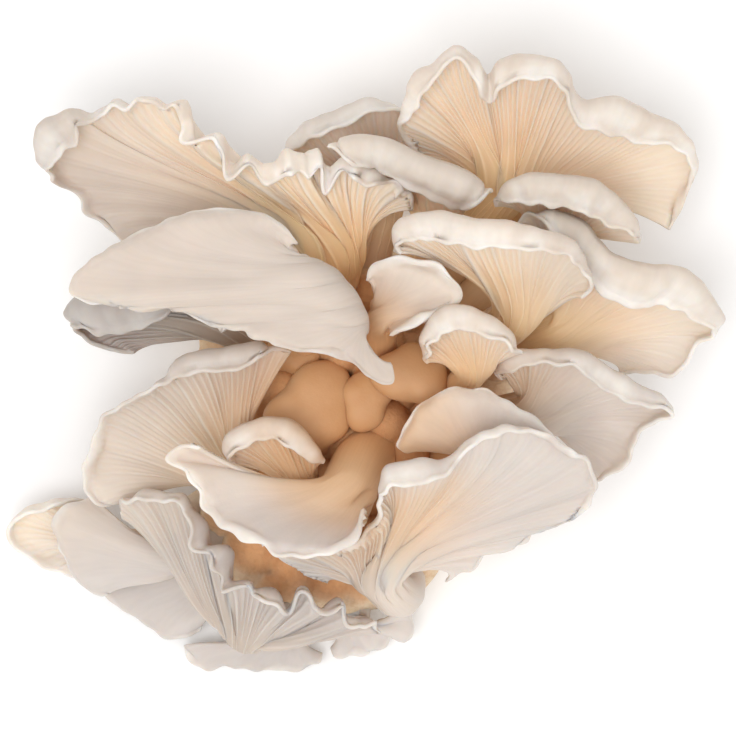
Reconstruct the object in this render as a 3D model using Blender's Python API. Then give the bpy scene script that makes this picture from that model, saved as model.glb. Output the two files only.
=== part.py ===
"""Oyster mushroom cluster, as picked, lying on the cut face of its butt with the open side up.

Run with: blender --background --python part.py

Each mushroom is one closed solid: a stem that leaves the butt, a fan-shaped cap with a waved and
partly rolled rim, and gills raised on its underside. Lengths in this file are millimetres.
"""

import math

import bpy
import numpy as np

MM = 0.001

# The plan: outlines are read looking straight down from VIEW_HEIGHT over VIEW_CENTRE. On the plan x
# runs to the right and y towards the front, and sizes are true at the height of VIEW_PLANE.
VIEW_HEIGHT = 1100.0
VIEW_PLANE = 45.0
VIEW_CENTRE = (110.4, 110.4)
BUTT_CENTRE = (106.5, 128.0)

# The butt: half widths of the lump, its height, and its profile from the cut face up, as shares of
# the half widths and heights. Its lumps are waves round it: depth, number, phase and twist.
BUTT_HALF_X = 50.0
BUTT_HALF_Y = 58.0
BUTT_HEIGHT = 34.0
BUTT_PROFILE = [(0.90, 0.0), (0.98, 4.0), (1.0, 12.0), (0.93, 20.0), (0.74, 28.0), (0.42, 32.5)]
BUTT_LUMPS = [(0.08, 1, -1.6, 0.0), (0.05, 3, 1.0, 0.04), (0.035, 5, 2.0, -0.06)]
BUTT_SIDES = 26

# The gap that a stem's foot keeps to the butt.
FOOT_GAP = 0.3

# Young closed caps: sides, where the bulb's rings are, from below its widest place to near its top,
# and its height as a share of its radius.
BUTTON_SIDES = 10
BULB_RINGS = (-35, 0, 30, 60)
BULB_HEIGHT = 0.8

# Flesh: thickness where the cap leaves the stem, before the margin and at the edge of the margin.
FLESH_AT_NECK = 5.0
FLESH_AT_RIM = 2.0
FLESH_AT_EDGE = 1.2

# Gills: how far they stand out, and the stretch of the cap that carries them.
GILL_DEPTH = 2.2
GILL_START = 0.20
GILL_END = 0.98
GILL_FULL_WIDTH = 3.5

# How far along the rim directions are evened out, as a share of the whole rim.
EVEN_WIDTH = 0.07

# The curl of the margin grows from nothing over this share of the rim at both ends.
ROLL_END = 0.12
SLIGHT_ROLL = 60

# Colours, how rough each flesh is, and the angle from which an edge is shaded as a crease.
CREAM = (0.86, 0.78, 0.68, 1.0)
CREAM_ROUGHNESS = 0.55
BUTT_TAN = (0.74, 0.60, 0.45, 1.0)
BUTT_ROUGHNESS = 0.75
CREASE = math.radians(50)


class Mushroom:
    """One mushroom. The rim's points run clockwise on the plan: x, y, height, roll and flap.

    roll is how many degrees the margin curls towards the gills, round a radius of curl, and flap is
    how far it goes on after that. bow lifts the middle of the cap above a straight line from neck to
    rim. root is half the width of the line where the cap leaves the stem, if that is wider than the
    stem. columns is how many strips the cap has: every second edge between them is a gill.
    """

    def __init__(self, name, gills_up, foot, neck, radii, rim, knee=None, root=None, bow=(0, 0, 0),
                 curl=2.4, rise=0.8, columns=20, rows=4):
        self.name = name
        self.gills_up = gills_up
        self.foot = foot
        self.knee = knee
        self.neck = neck
        self.radii = radii
        self.root = root or radii[1]
        self.rim = rim
        self.bow = bow
        self.curl = curl
        self.rise = rise
        self.columns = columns
        self.rows = rows


MUSHROOMS = [
    Mushroom(
        "cap_back_left", True, foot=(97, 101, 15.5), neck=(97.5, 77, 37), radii=(8.0, 8.0), root=12,
        rim=[(37, 73, 34, 0, 4), (30.6, 66, 33, 0, 4), (25, 62, 35, 10, 4), (22.5, 55.5, 39, 20, 4),
             (16.5, 52.5, 42, 40, 6), (12.6, 47, 45, 85, 8), (11.4, 40, 48, 120, 10),
             (15, 34.5, 50, 130, 10), (20, 32.1, 51, 120, 8), (25, 34, 49, 75, 4), (30, 31, 52, 60, 4),
             (38, 28.5, 57, 60, 4), (48, 28.2, 60, 50, 4), (54, 33.9, 58, 40, 4), (60, 39, 57, 40, 4),
             (67, 45.4, 57, 70, 4), (76, 46.4, 58, 95, 5), (82, 48.6, 55, 95, 5),
             (87.6, 44.4, 57, 105, 5.5), (92.4, 47.4, 51, 105, 5.5), (97, 46.2, 49, 110, 5.5),
             (104, 47.8, 49, 110, 5.5), (111, 48.4, 51, 115, 5.5), (118, 52, 49, 105, 4.5),
             (123, 57.6, 46, 75, 4), (124, 63, 44, 40, 3)],
        bow=(-3.5, -0.5, -5.5), rise=0.81, columns=26),
    Mushroom(
        "cap_front_left", False, foot=(102, 112.5, 24.5), knee=(100.5, 97, 41), neck=(101, 90, 68),
        radii=(6.5, 5.0), root=14,
        rim=[(117.5, 109, 77, 10, 2), (118, 115, 78, 20, 2), (112, 114.5, 78, 20, 2),
             (104, 109.5, 77, 20, 2), (97, 105, 76, 20, 2), (88, 104.5, 76, 20, 2), (78.6, 101, 74, 20, 2),
             (71, 97.5, 72, 20, 2), (62, 98, 71, 20, 2), (54, 93.5, 68, 20, 2), (47, 91, 66, 20, 2),
             (39, 92.5, 66, 20, 2), (29, 91, 63, 20, 2), (20.5, 87.5, 60, 20, 2), (23, 81.5, 61, 25, 2),
             (29, 76.5, 64, 35, 3), (37, 72.6, 68, 45, 3.5), (49.5, 66.8, 72, 55, 3.5),
             (62, 64.5, 74, 55, 3.5), (75, 64.2, 75, 55, 3.5), (84, 68.5, 75, 45, 3), (89, 73, 74, 25, 2)],
        bow=(1, 2, 7), columns=26),
    Mushroom(
        "cap_left_under", True, foot=(88, 110, 14), neck=(74, 99.5, 31.5), radii=(5.5, 5.0), root=8,
        rim=[(40, 106, 29, 5, 3), (31, 103.6, 28, 20, 3), (23.5, 99.5, 29, 50, 4), (19, 94, 32, 85, 5.5),
             (21, 90, 35, 105, 7.5), (28, 88.2, 39, 115, 9.5), (38, 87.5, 42, 115, 8.5),
             (48, 86.5, 44, 95, 6.5), (57, 86, 44, 55, 5)],
        bow=(-0.5, -0.5, -4.5), columns=14, rows=3),
    Mushroom(
        "cap_left", True, foot=(86, 131.5, 17.5), neck=(70, 138.6, 39), radii=(6.0, 5.5), root=9,
        rim=[(37, 151, 27, 0, 4), (27, 150, 30, 0, 4), (24.3, 140.4, 34, 20, 4), (26.4, 132.9, 38, 20, 4),
             (31.5, 122.4, 44, 30, 4), (40, 117, 49, 30, 4), (48, 111.5, 53, 50, 4), (54, 107.4, 56, 90, 5),
             (66, 103.4, 58, 115, 5), (78, 102.3, 60, 115, 5), (87.5, 105.5, 59, 60, 4)],
        bow=(0.5, -0.5, -4.5), rise=0.77, columns=20),
    Mushroom(
        "young_front", True, foot=(97, 134, 26), knee=(92, 146, 36), neck=(90.5, 144, 46), radii=(3.6, 3.4),
        rim=[(69.5, 140, 53, 20, 3), (66.5, 134, 57, 90, 3), (70, 128.3, 60, 120, 4),
             (78.6, 124.4, 62, 120, 4), (88.5, 126.9, 62, 120, 4), (95, 133, 60, 100, 3),
             (97, 139, 56, 50, 3)],
        bow=(0, 0, -3), curl=2.0, columns=12, rows=3),
    Mushroom(
        "cap_front", False, foot=(113, 134, 22), knee=(110.5, 134, 42), neck=(105, 146, 52),
        radii=(7.6, 7.0),
        rim=[(109, 152.5, 67, 10, 2), (106.5, 160, 71, 20, 2), (100, 164.5, 73, 20, 2),
             (93, 166, 74, 20, 2), (84, 165.5, 74, 20, 2), (72, 160.5, 73, 20, 2), (64.5, 156, 72, 20, 2),
             (60.5, 149, 72, 20, 2), (56.4, 142, 71, 20, 2), (50.5, 138, 70, 20, 2), (54, 134.6, 70, 30, 2),
             (60, 134.3, 70, 20, 2)],
        bow=(0, 0, -2), columns=20),
    Mushroom(
        "cap_front_right", True, foot=(116, 157, 8), knee=(125.5, 187.5, 19), neck=(115, 174.5, 37),
        radii=(6.5, 5.5),
        rim=[(98, 174.5, 36, 0, 2), (89, 170, 41, 0, 3), (83, 164.5, 46, 0, 4), (94, 163, 50, 0, 4),
             (103, 162.5, 53, 5, 3), (110, 160, 58, 5, 2.5), (114, 154.5, 64, 15, 2.5),
             (114.5, 149, 70, 30, 3), (114.5, 143.5, 75, 60, 4.5), (117, 138.8, 78, 90, 5.5),
             (124, 137, 79, 100, 6.5), (132, 137.2, 78, 85, 4.5), (139, 133.5, 76, 60, 3),
             (148, 127.4, 76, 50, 2.5), (162, 128.1, 74, 45, 2.5), (174, 135, 69, 35, 2.5),
             (179, 143, 62, 25, 2.5), (176.5, 151, 56, 10, 1.5), (169, 156.5, 51, 5, 1),
             (159, 160.5, 46, 5, 1), (150, 164, 42, 5, 1), (142.5, 169, 37, 5, 1), (134, 174.5, 32, 5, 1)],
        bow=(4, 0.5, -2.5), rise=0.76, columns=30),
    Mushroom(
        "cap_centre", False, foot=(113, 110, 28), knee=(114.5, 103, 39.5), neck=(114, 96.5, 51.5),
        radii=(4.4, 4.0),
        rim=[(110, 84, 63, 20, 2), (113, 80.6, 66, 40, 2), (120, 78.8, 69, 40, 2), (129, 79.8, 70, 40, 2),
             (134.5, 83.5, 70, 40, 2), (138, 89, 69, 30, 2), (133, 92, 69, 20, 2), (127.5, 94, 68, 20, 2),
             (122.5, 97.5, 67, 20, 2), (117, 100.5, 64, 10, 2)],
        bow=(0, 0, 3), columns=14, rows=3),
    Mushroom(
        "cap_pit_right", False, foot=(129, 138, 22), neck=(144, 137.5, 50), radii=(5.0, 4.8),
        rim=[(122, 136, 61, 10, 2), (118.8, 133, 62, 30, 2), (121.5, 127, 64, 30, 2),
             (126, 120.5, 66, 40, 2), (134, 116.8, 67, 40, 2), (146, 117.8, 67, 40, 2),
             (156, 123, 65, 40, 2), (165, 129, 61, 20, 2), (167, 134, 57, 10, 2)],
        bow=(0, 0, 5), columns=14, rows=3),
    Mushroom(
        "young_right", True, foot=(129, 126, 25), neck=(141, 112.5, 53), radii=(4.4, 3.8),
        rim=[(128, 109, 61, 20, 3), (125.3, 102, 65, 85, 3), (127.5, 96, 67, 110, 4),
             (133, 92, 69, 115, 4.5), (140, 91.5, 69, 115, 4.5), (148, 94.8, 68, 105, 4),
             (155, 100, 65, 85, 3.5), (157, 106, 61, 40, 4)],
        bow=(0, 0, -2.5), curl=2.2, columns=14, rows=3),
    Mushroom(
        "cap_top", True, foot=(122, 94, 10), neck=(150, 60.5, 34), radii=(7.5, 7.0),
        rim=[(127, 49, 40, 0, 4), (120, 38, 48, 20, 4), (120.6, 29.4, 54, 70, 5), (124, 21.5, 57, 100, 6),
             (130, 18.8, 60, 90, 4), (136, 13, 62, 90, 4), (142, 17, 58, 120, 6), (146.2, 21.5, 52, 130, 6),
             (151, 17.4, 56, 130, 6), (160.5, 15.8, 60, 120, 5), (168, 18, 58, 110, 5),
             (172, 25, 54, 110, 4), (176, 29.2, 51, 120, 6), (185, 29, 51, 130, 8),
             (196.5, 33.9, 48, 130, 7), (205.5, 38.5, 44, 110, 5), (209, 48, 40, 70, 4),
             (206.4, 58.5, 36, 40, 4), (201, 69, 32, 0, 4)],
        bow=(0, 0, -6), columns=26),
    Mushroom(
        "cap_right", True, foot=(128, 115, 22), neck=(152, 97, 46), radii=(6.2, 5.8),
        rim=[(120, 76, 69, 20, 4), (117.4, 70.5, 72, 80, 4.5), (119.5, 64.5, 74, 115, 5.5),
             (127, 62.6, 75, 125, 5.5), (140, 64.8, 75, 125, 5), (156, 66.5, 75, 120, 4.5),
             (169, 69.6, 73, 105, 4), (177, 76.5, 69, 60, 4), (178.5, 83.4, 66, 30, 4),
             (174.6, 89.4, 61, 20, 4)],
        bow=(0, 0, -5), columns=20),
    Mushroom(
        "cap_far_right", True, foot=(136, 111, 10), neck=(167, 100.5, 32), radii=(7.0, 6.0),
        rim=[(154, 68, 52, 20, 4), (162, 61.5, 55, 70, 5.5), (172, 65, 55, 110, 7.5),
             (180, 71.5, 54, 130, 8.5), (188, 76.5, 53, 140, 9.5), (196, 79, 52, 140, 10.5),
             (204, 79.5, 50, 140, 9.5), (211.5, 85, 47, 140, 7.5), (216.5, 92.5, 43, 110, 5.5),
             (216.5, 98.5, 39, 60, 4), (211.5, 101.5, 37, 50, 4), (208.5, 106.5, 34, 60, 4),
             (203, 111, 31, 50, 3), (194.5, 111.6, 30, 30, 3), (186, 112, 28, 10, 3)],
        bow=(0.5, 0, -5), columns=22),
    Mushroom(
        "cap_lower_right", True, foot=(135.5, 130.5, 15), neck=(159, 124.5, 36), radii=(7.0, 6.5),
        rim=[(150.5, 114, 48, 20, 4), (148.5, 109.5, 52, 55, 4), (153, 105.5, 55, 85, 3.5),
             (160, 103.4, 56, 90, 3.5), (168, 104, 56, 95, 3.5), (177, 106, 54, 95, 4),
             (184, 110.6, 51, 100, 4.5), (192, 114.6, 49, 100, 5), (199, 117.5, 46, 85, 5),
             (203, 122.4, 43, 55, 4), (196, 127.5, 41, 30, 4), (191.5, 132, 38, 30, 4),
             (190, 138, 35, 30, 4), (183, 143, 32, 20, 4), (177, 145, 30, 0, 4)],
        bow=(-0.5, -0.5, -3.5), columns=22),
    Mushroom(
        "cap_upper_right", True, foot=(131, 101, 18), neck=(161.5, 71.5, 37), radii=(5.6, 5.0),
        rim=[(148.5, 62, 52, 30, 3), (150, 55.5, 57, 85, 3.5), (157, 51.8, 61, 125, 5.5),
             (168, 51.5, 61, 125, 6.5), (178.5, 53.8, 60, 125, 6.5), (187, 60, 56, 115, 5.5),
             (192, 67, 52, 75, 3.5), (192, 73, 47, 20, 3)],
        bow=(0, -0.5, -3.5), columns=16),
    Mushroom(
        "cap_upper_middle", True, foot=(115, 103, 20), neck=(129, 72, 34), radii=(5.4, 5.0),
        rim=[(98, 44, 61, 60, 3), (102, 41, 63, 120, 5), (109, 39.6, 64, 140, 7), (117, 40.8, 64, 140, 7),
             (126, 45.8, 65, 140, 8), (136, 49.6, 65, 140, 9), (144, 53, 62, 130, 8),
             (148, 57.5, 58, 80, 4)],
        bow=(0, -5, -11), columns=16),
    Mushroom(
        "cap_back", True, foot=(107, 95, 12), neck=(114.5, 66, 26), radii=(5.0, 4.6),
        rim=[(87, 52, 30, 0, 3), (85.5, 44, 34, 60, 4), (90.5, 38, 37, 100, 5), (99, 33.6, 40, 110, 5),
             (108.6, 29.8, 42, 100, 5), (118.5, 30, 40, 60, 4), (126, 35, 35, 10, 3)],
        bow=(0, 0, -2), columns=14, rows=3),
    Mushroom(
        "cap_front_bottom", True, foot=(93.5, 160, 12.5), knee=(82.5, 185.5, 14), neck=(75, 190.5, 28),
        radii=(5.0, 4.6), rise=1.29,
        rim=[(36.5, 155, 32, 0, 4), (36, 149, 37, 30, 4), (41, 145.8, 41, 60, 4), (48, 146, 44, 70, 4.5),
             (55, 147, 46, 60, 4), (58.5, 152, 45, 50, 4), (61, 159, 45, 60, 4), (66.5, 164.5, 46, 70, 4),
             (70, 170, 45, 70, 4), (73, 172, 46, 50, 3), (76.5, 175.6, 43, 50, 3), (82.5, 176, 45, 60, 4),
             (88, 178.6, 42, 50, 3), (92, 177, 44, 50, 3), (96.5, 179.6, 41, 50, 3),
             (104, 181.4, 38, 60, 4), (111, 185.6, 34, 60, 4), (114.5, 190, 30, 40, 4)],
        bow=(1, 0, -4), columns=26),
    Mushroom(
        "lobe_far_left", True, foot=(81, 138, 9), neck=(44, 162, 11), radii=(4.0, 3.6),
        rim=[(25, 174, 8, 0, 3), (13, 168, 9, 30, 4), (3.4, 161.4, 11, 50, 4), (4, 155.6, 12, 70, 5),
             (11, 151.2, 13, 80, 5), (20, 151, 12, 60, 4), (29, 152.5, 11, 20, 3)],
        bow=(0, 0, -1), columns=12, rows=3),
    Mushroom(
        "lobe_left", False, foot=(82, 147, 13), neck=(56, 166, 19), radii=(4.5, 4.2),
        rim=[(33, 178, 14, 10, 2), (26, 177.5, 16, 20, 2), (21.5, 173.5, 18, 30, 2), (17.5, 167, 22, 30, 3),
             (15.2, 160, 25, 40, 3), (16.5, 154.5, 26, 40, 3), (21, 150.5, 26, 40, 3),
             (28, 148.8, 23, 20, 2)],
        bow=(0, 0, 4), columns=14, rows=3),
    Mushroom(
        "lobe_front_left", False, foot=(88, 155, 8), neck=(65.5, 172.5, 11), radii=(3.8, 3.6), root=6,
        rim=[(60.5, 187, 8, 10, 2), (57.5, 190, 7, 20, 2), (52.8, 191.4, 7, 20, 2), (47, 191.2, 7, 20, 2),
             (42, 187.6, 8, 20, 2), (36, 182.8, 9, 20, 2), (30.5, 177.5, 9, 20, 2), (31, 172.5, 7, 10, 2)],
        bow=(0, 0, 4), columns=12, rows=3),
    Mushroom(
        "lobe_front", False, foot=(98, 165, 8), neck=(87, 189, 8), radii=(3.2, 3.0),
        rim=[(97, 196, 5, 10, 2), (93, 200, 5, 20, 2), (82.5, 201.8, 5, 20, 2), (72, 200.8, 6, 20, 2),
             (63, 200.5, 6, 20, 2), (57, 198.5, 6, 20, 2), (55, 193.5, 7, 10, 2)],
        bow=(0, 0, 3), columns=12, rows=3),
    Mushroom(
        "lobe_front_right", False, foot=(109, 163, 8), neck=(107, 185, 10), radii=(3.6, 3.4),
        rim=[(121, 181.5, 15, 10, 2), (125.4, 185, 15, 20, 2), (125.6, 189, 13, 20, 2),
             (120.5, 191.8, 11, 20, 2), (116, 194.6, 9, 20, 2), (110, 197.2, 8, 20, 2),
             (103, 197.6, 8, 20, 2), (99, 194.5, 8, 10, 2)],
        bow=(0, 0, 4), columns=12, rows=3),
]


class Button:
    """A young mushroom whose cap has not opened: a bulb of cap_radius on a short stem."""

    def __init__(self, name, foot, top, cap_radius, stem_radius):
        self.name = name
        self.foot = foot
        self.top = top
        self.cap_radius = cap_radius
        self.stem_radius = stem_radius


BUTTONS = [
    Button("button_left", (92, 124, 24), (94, 122, 50), 10.6, 7.4),
    Button("button_back", (88.5, 108.5, 24), (88.5, 105.5, 42), 6.2, 4.6),
    Button("button_middle", (108, 121, 28), (110.5, 119.5, 49), 6.8, 5.2),
    Button("button_right", (121, 118.5, 26), (124, 111, 52), 8.4, 6.0),
]


def place(point):
    """The position of a plan point: it slides along its sight line to its own height."""
    x, y, z = point[:3]
    near = (VIEW_HEIGHT - z) / (VIEW_HEIGHT - VIEW_PLANE)
    seen_x = VIEW_CENTRE[0] + (x - VIEW_CENTRE[0]) * near
    seen_y = VIEW_CENTRE[1] + (y - VIEW_CENTRE[1]) * near
    return np.array((seen_x - BUTT_CENTRE[0], BUTT_CENTRE[1] - seen_y, z))


def unit(vectors):
    return vectors / np.maximum(np.linalg.norm(vectors, axis=-1, keepdims=True), 1e-9)


def ease(t):
    """0 to 1 with flat ends."""
    t = np.clip(t, 0.0, 1.0)
    return t * t * (3 - 2 * t)


def even_out(values, width=EVEN_WIDTH):
    """Averages values along the rim with a bell-shaped window."""
    u = np.linspace(0, 1, len(values))
    window = np.exp(-(((u[:, None] - u[None]) / width) ** 2) / 2)
    window /= window.sum(axis=1, keepdims=True)
    return window @ values


def smooth_curve(points, count):
    """count rows evenly spaced along a Catmull-Rom curve through points that start with x, y, z."""
    p = np.array(points, float)
    p = np.vstack([2 * p[0] - p[1], p, 2 * p[-1] - p[-2]])
    t = np.linspace(0, 1, 12, endpoint=False)[:, None]
    spans = [
        0.5 * (2 * b + (c - a) * t + (2 * a - 5 * b + 4 * c - d) * t**2 + (3 * b - a - 3 * c + d) * t**3)
        for a, b, c, d in zip(p, p[1:], p[2:], p[3:])
    ]
    fine = np.vstack([*spans, p[-2:-1]])
    steps = np.linalg.norm(np.diff(fine[:, :3], axis=0), axis=1)
    along = np.concatenate([[0.0], np.cumsum(steps)])
    at = np.linspace(0, along[-1], count)
    return np.column_stack([np.interp(at, along, column) for column in fine.T])


def bezier(a, b, c, d, t):
    return (1 - t) ** 3 * a + 3 * (1 - t) ** 2 * t * b + 3 * (1 - t) * t**2 * c + t**3 * d


def middle_surface(m, stem_rows, cap_rows, margin_rows, columns):
    """The surface halfway through the flesh, as rows from the foot to the rim, and each row's v.

    v is below 0 on the stem, 0 at the neck, 1 where the margin starts to curl, and up to 2 in the margin.
    """
    u = np.linspace(0, 1, columns + 1)
    rim = smooth_curve([(*place(p), *p[3:]) for p in m.rim], columns + 1)
    at_ends = ease(np.minimum(u, 1 - u) / ROLL_END)
    edge, roll, flap = rim[:, :3], np.radians(1 + rim[:, 3] * at_ends), 0.5 + rim[:, 4] * at_ends
    foot, neck = place(m.foot), place(m.neck)
    knee = place(m.knee) if m.knee else (foot + neck) / 2
    axis = unit(neck - knee)
    reach = np.linalg.norm(edge - neck, axis=1, keepdims=True)
    bow = np.array((m.bow[0], -m.bow[1], m.bow[2])) * reach / reach.max()
    across = even_out(edge)[-1] - even_out(edge)[0]
    across = unit(across - axis * (across @ axis))
    spread = -np.cos(math.pi * u)[:, None]
    root = neck + across * m.root * spread

    heading = unit(edge - (root + edge) / 2 - bow)
    proud = np.where(roll < math.pi / 2, m.curl * np.sin(roll) + flap * np.cos(roll), m.curl)
    start = edge - heading * proud[:, None]
    length = np.linalg.norm(start - root, axis=1, keepdims=True)
    first = root + axis * length * 0.33 * m.rise + bow * 0.3
    second = start - (start - root) * 0.33 + bow * 1.2
    first, second = even_out(first), even_out(second)

    surface, vs = [], []
    for k in range(stem_rows):
        t = k / stem_rows
        radius = m.radii[0] + (m.radii[1] - m.radii[0]) * t
        middle = (1 - t) ** 2 * foot + 2 * (1 - t) * t * knee + t**2 * neck
        half_width = radius + (m.root - m.radii[1]) * t**3
        surface.append(middle + across * half_width * spread)
        vs.append(t - 1.0)
    for k in range(cap_rows + 1):
        surface.append(bezier(root, first, second, start, k / cap_rows))
        vs.append(k / cap_rows)

    along = unit(even_out(unit(start - second)))
    sideways = unit(even_out(np.gradient(start, axis=0)))
    gillwards = unit(np.cross(sideways, along)) * (1 if m.gills_up else -1)
    for k in range(1, margin_rows + 1):
        t = k / margin_rows
        arc = min(t * 1.5, 1.0) * roll
        out = m.curl * np.sin(arc) + t * flap * np.cos(arc)
        up = m.curl * (1 - np.cos(arc)) + t * flap * np.sin(arc)
        surface.append(start + along * out[:, None] + gillwards * up[:, None])
        vs.append(1.0 + t)
    return np.array(surface), vs


def half_thickness(m, v, columns):
    """Half of the flesh at v along a rib, across the cap from side to side. The stem is round."""
    bulge = np.sin(math.pi * np.linspace(0, 1, columns + 1))
    stem = m.radii[0] + (m.radii[1] - m.radii[0]) * min(v + 1, 1.0)
    if v > 1:
        flesh = FLESH_AT_RIM + (FLESH_AT_EDGE - FLESH_AT_RIM) * (v - 1)
    else:
        flesh = FLESH_AT_NECK + (FLESH_AT_RIM - FLESH_AT_NECK) * ease(v / 0.9)
    flat = flesh / 2 * np.minimum(1.0, 4.0 * bulge)
    share = ease(v / 0.5)
    return stem * bulge * (1 - share) + flat * share


def gill_relief(v, widths):
    """How far each column's edge stands out of the underside: every second one is a gill."""
    if not GILL_START < v < GILL_END:
        return np.zeros(len(widths))
    rise = ease((v - GILL_START) / 0.2) * ease((GILL_END - v) / 0.15)
    odd = np.arange(len(widths)) % 2
    return GILL_DEPTH * rise * odd * np.minimum(1.0, widths / GILL_FULL_WIDTH)


def closed_mesh(name, smooth, gilled):
    """A mesh from two grids of points that meet along their first and last columns."""
    rows, count = smooth.shape[:2]
    points = [tuple(p) for p in smooth.reshape(-1, 3)]
    inner = {}
    for i in range(rows):
        for j in range(1, count - 1):
            inner[i, j] = len(points)
            points.append(tuple(gilled[i, j]))

    def low(i, j):
        return i * count + j

    def high(i, j):
        return inner.get((i, j), low(i, j))

    faces = []
    for i in range(rows - 1):
        for j in range(count - 1):
            a, b, c, d = low(i, j), low(i, j + 1), low(i + 1, j + 1), low(i + 1, j)
            faces += [(a, b, c), (a, c, d)]
            a, b, c, d = high(i, j), high(i, j + 1), high(i + 1, j + 1), high(i + 1, j)
            faces += [(a, c, b), (a, d, c)]
    for i, way in ((0, -1), (rows - 1, 1)):
        for j in range(count - 1):
            ring = list(dict.fromkeys((low(i, j), low(i, j + 1), high(i, j + 1), high(i, j))))
            for k in range(1, len(ring) - 1):
                faces.append((ring[0], ring[k], ring[k + 1])[::way])
    return solid_mesh(name, points, faces)


def solid_mesh(name, points, faces):
    """A Blender mesh in metres whose faces point outwards."""
    corners = np.array(points)[np.array(faces)]
    if np.einsum("ij,ij->i", corners[:, 0], np.cross(corners[:, 1], corners[:, 2])).sum() < 0:
        faces = [face[::-1] for face in faces]
    mesh = bpy.data.meshes.new(name)
    mesh.from_pydata([[c * MM for c in p] for p in points], [], faces)
    mesh.shade_smooth()
    mesh.set_sharp_from_angle(angle=CREASE)
    return mesh


def mushroom_mesh(m):
    rolled = max(p[3] for p in m.rim) > SLIGHT_ROLL
    surface, vs = middle_surface(m, 2 if m.knee else 1, m.rows, 3 if rolled else 1, m.columns)
    normal = np.cross(np.gradient(surface, axis=1), np.gradient(surface, axis=0))
    normal = unit(np.array([even_out(unit(row)) for row in normal]))
    gillwards = normal * (1 if m.gills_up else -1)
    widths = np.linalg.norm(np.gradient(surface, axis=1), axis=2)
    half = np.array([half_thickness(m, v, m.columns) for v in vs])[:, :, None]
    relief = np.array([gill_relief(v, w) for v, w in zip(vs, widths)])[:, :, None]
    relief[:, 0] = relief[:, -1] = 0
    half[:, 0] = half[:, -1] = 0
    return closed_mesh(m.name, surface - gillwards * half, surface + gillwards * (half + relief))


def lump_mesh(name, bottom, rings, top, sides):
    """A closed lump from rings of points, from bottom to top."""
    points = [tuple(bottom), *[tuple(p) for ring in rings for p in ring], tuple(top)]
    faces = []
    for k in range(sides):
        n = (k + 1) % sides
        faces.append((0, 1 + n, 1 + k))
        for ring in range(len(rings) - 1):
            a, b = 1 + ring * sides, 1 + (ring + 1) * sides
            faces += [(a + k, a + n, b + n), (a + k, b + n, b + k)]
        last = 1 + (len(rings) - 1) * sides
        faces.append((last + k, last + n, len(points) - 1))
    return solid_mesh(name, points, faces)


def button_mesh(b):
    """A turned bulb: a stem that widens into a round closed cap."""
    foot, top = place(b.foot), place(b.top)
    axis = unit(top - foot)
    side = unit(np.cross(axis, (0.0, 1.0, 0.3)))
    other = np.cross(axis, side)
    length = np.linalg.norm(top - foot)
    profile = [(0.0, b.stem_radius), (1 - b.cap_radius * 1.5 / length, b.stem_radius * 0.9)]
    for degrees in BULB_RINGS:
        a = math.radians(degrees)
        below_top = b.cap_radius * BULB_HEIGHT * (1 - math.sin(a))
        profile.append((1 - below_top / length, b.cap_radius * math.cos(a)))
    rings = []
    for t, radius in profile:
        ring = []
        for k in range(BUTTON_SIDES):
            a = 2 * math.pi * k / BUTTON_SIDES
            lump = 1 + 0.06 * math.sin(2 * a + b.foot[0]) + 0.03 * math.sin(3 * a + b.foot[1])
            outwards = side * math.cos(a) + other * math.sin(a)
            ring.append(foot + axis * length * t + outwards * radius * lump)
        rings.append(ring)
    return lump_mesh(b.name, foot, rings, top, BUTTON_SIDES)


def butt_mesh(name, grow):
    """The lump that all the stems leave, flat where it was cut. grow moves its skin outwards."""
    rings = []
    for scale, z in BUTT_PROFILE:
        ring = []
        for k in range(BUTT_SIDES):
            a = 2 * math.pi * k / BUTT_SIDES
            lump = 1 + sum(d * math.sin(n * a + phase + z * twist) for d, n, phase, twist in BUTT_LUMPS)
            x = (BUTT_HALF_X * scale * lump + grow) * math.cos(a)
            y = (BUTT_HALF_Y * scale * lump + grow) * math.sin(a)
            ring.append((x, y, z + (grow if z > 0 else -grow)))
        rings.append(ring)
    return lump_mesh(name, (0.0, 0.0, -grow), rings, (0.0, 0.0, BUTT_HEIGHT + grow), BUTT_SIDES)


def flesh_material(name, colour, roughness):
    material = bpy.data.materials.new(name)
    material.use_nodes = True
    shader = material.node_tree.nodes["Principled BSDF"]
    shader.inputs["Base Color"].default_value = colour
    shader.inputs["Roughness"].default_value = roughness
    shader.inputs["Metallic"].default_value = 0.0
    material.diffuse_color = colour
    return material


def add_object(name, mesh, material):
    obj = bpy.data.objects.new(name, mesh)
    obj.data.materials.append(material)
    bpy.context.scene.collection.objects.link(obj)
    return obj


def cut_foot(obj, cutter):
    """Ends a stem where it meets the butt."""
    cut = obj.modifiers.new("foot", "BOOLEAN")
    cut.operation = "DIFFERENCE"
    cut.object = cutter
    cut.solver = "EXACT"


def main():
    for obj in list(bpy.data.objects):
        bpy.data.objects.remove(obj)
    butt = flesh_material("butt flesh", BUTT_TAN, BUTT_ROUGHNESS)
    add_object("butt", butt_mesh("butt", 0.0), butt)
    cutter = add_object("butt_clearance", butt_mesh("butt_clearance", FOOT_GAP), butt)
    cutter.hide_render = True
    cutter.display_type = "WIRE"
    for m in MUSHROOMS:
        cream = flesh_material(m.name + " flesh", CREAM, CREAM_ROUGHNESS)
        cut_foot(add_object(m.name, mushroom_mesh(m), cream), cutter)
    for b in BUTTONS:
        cream = flesh_material(b.name + " flesh", CREAM, CREAM_ROUGHNESS)
        cut_foot(add_object(b.name, button_mesh(b), cream), cutter)


main()
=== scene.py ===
"""Looks of the oyster mushroom cluster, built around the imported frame.

Every mushroom stands for the node of the same name: the same foot, neck and rim as in the part's source,
with fine gills, a soft rounded rim, small ruffles and a material of its own. Lengths are millimetres.
"""

import math

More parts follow.
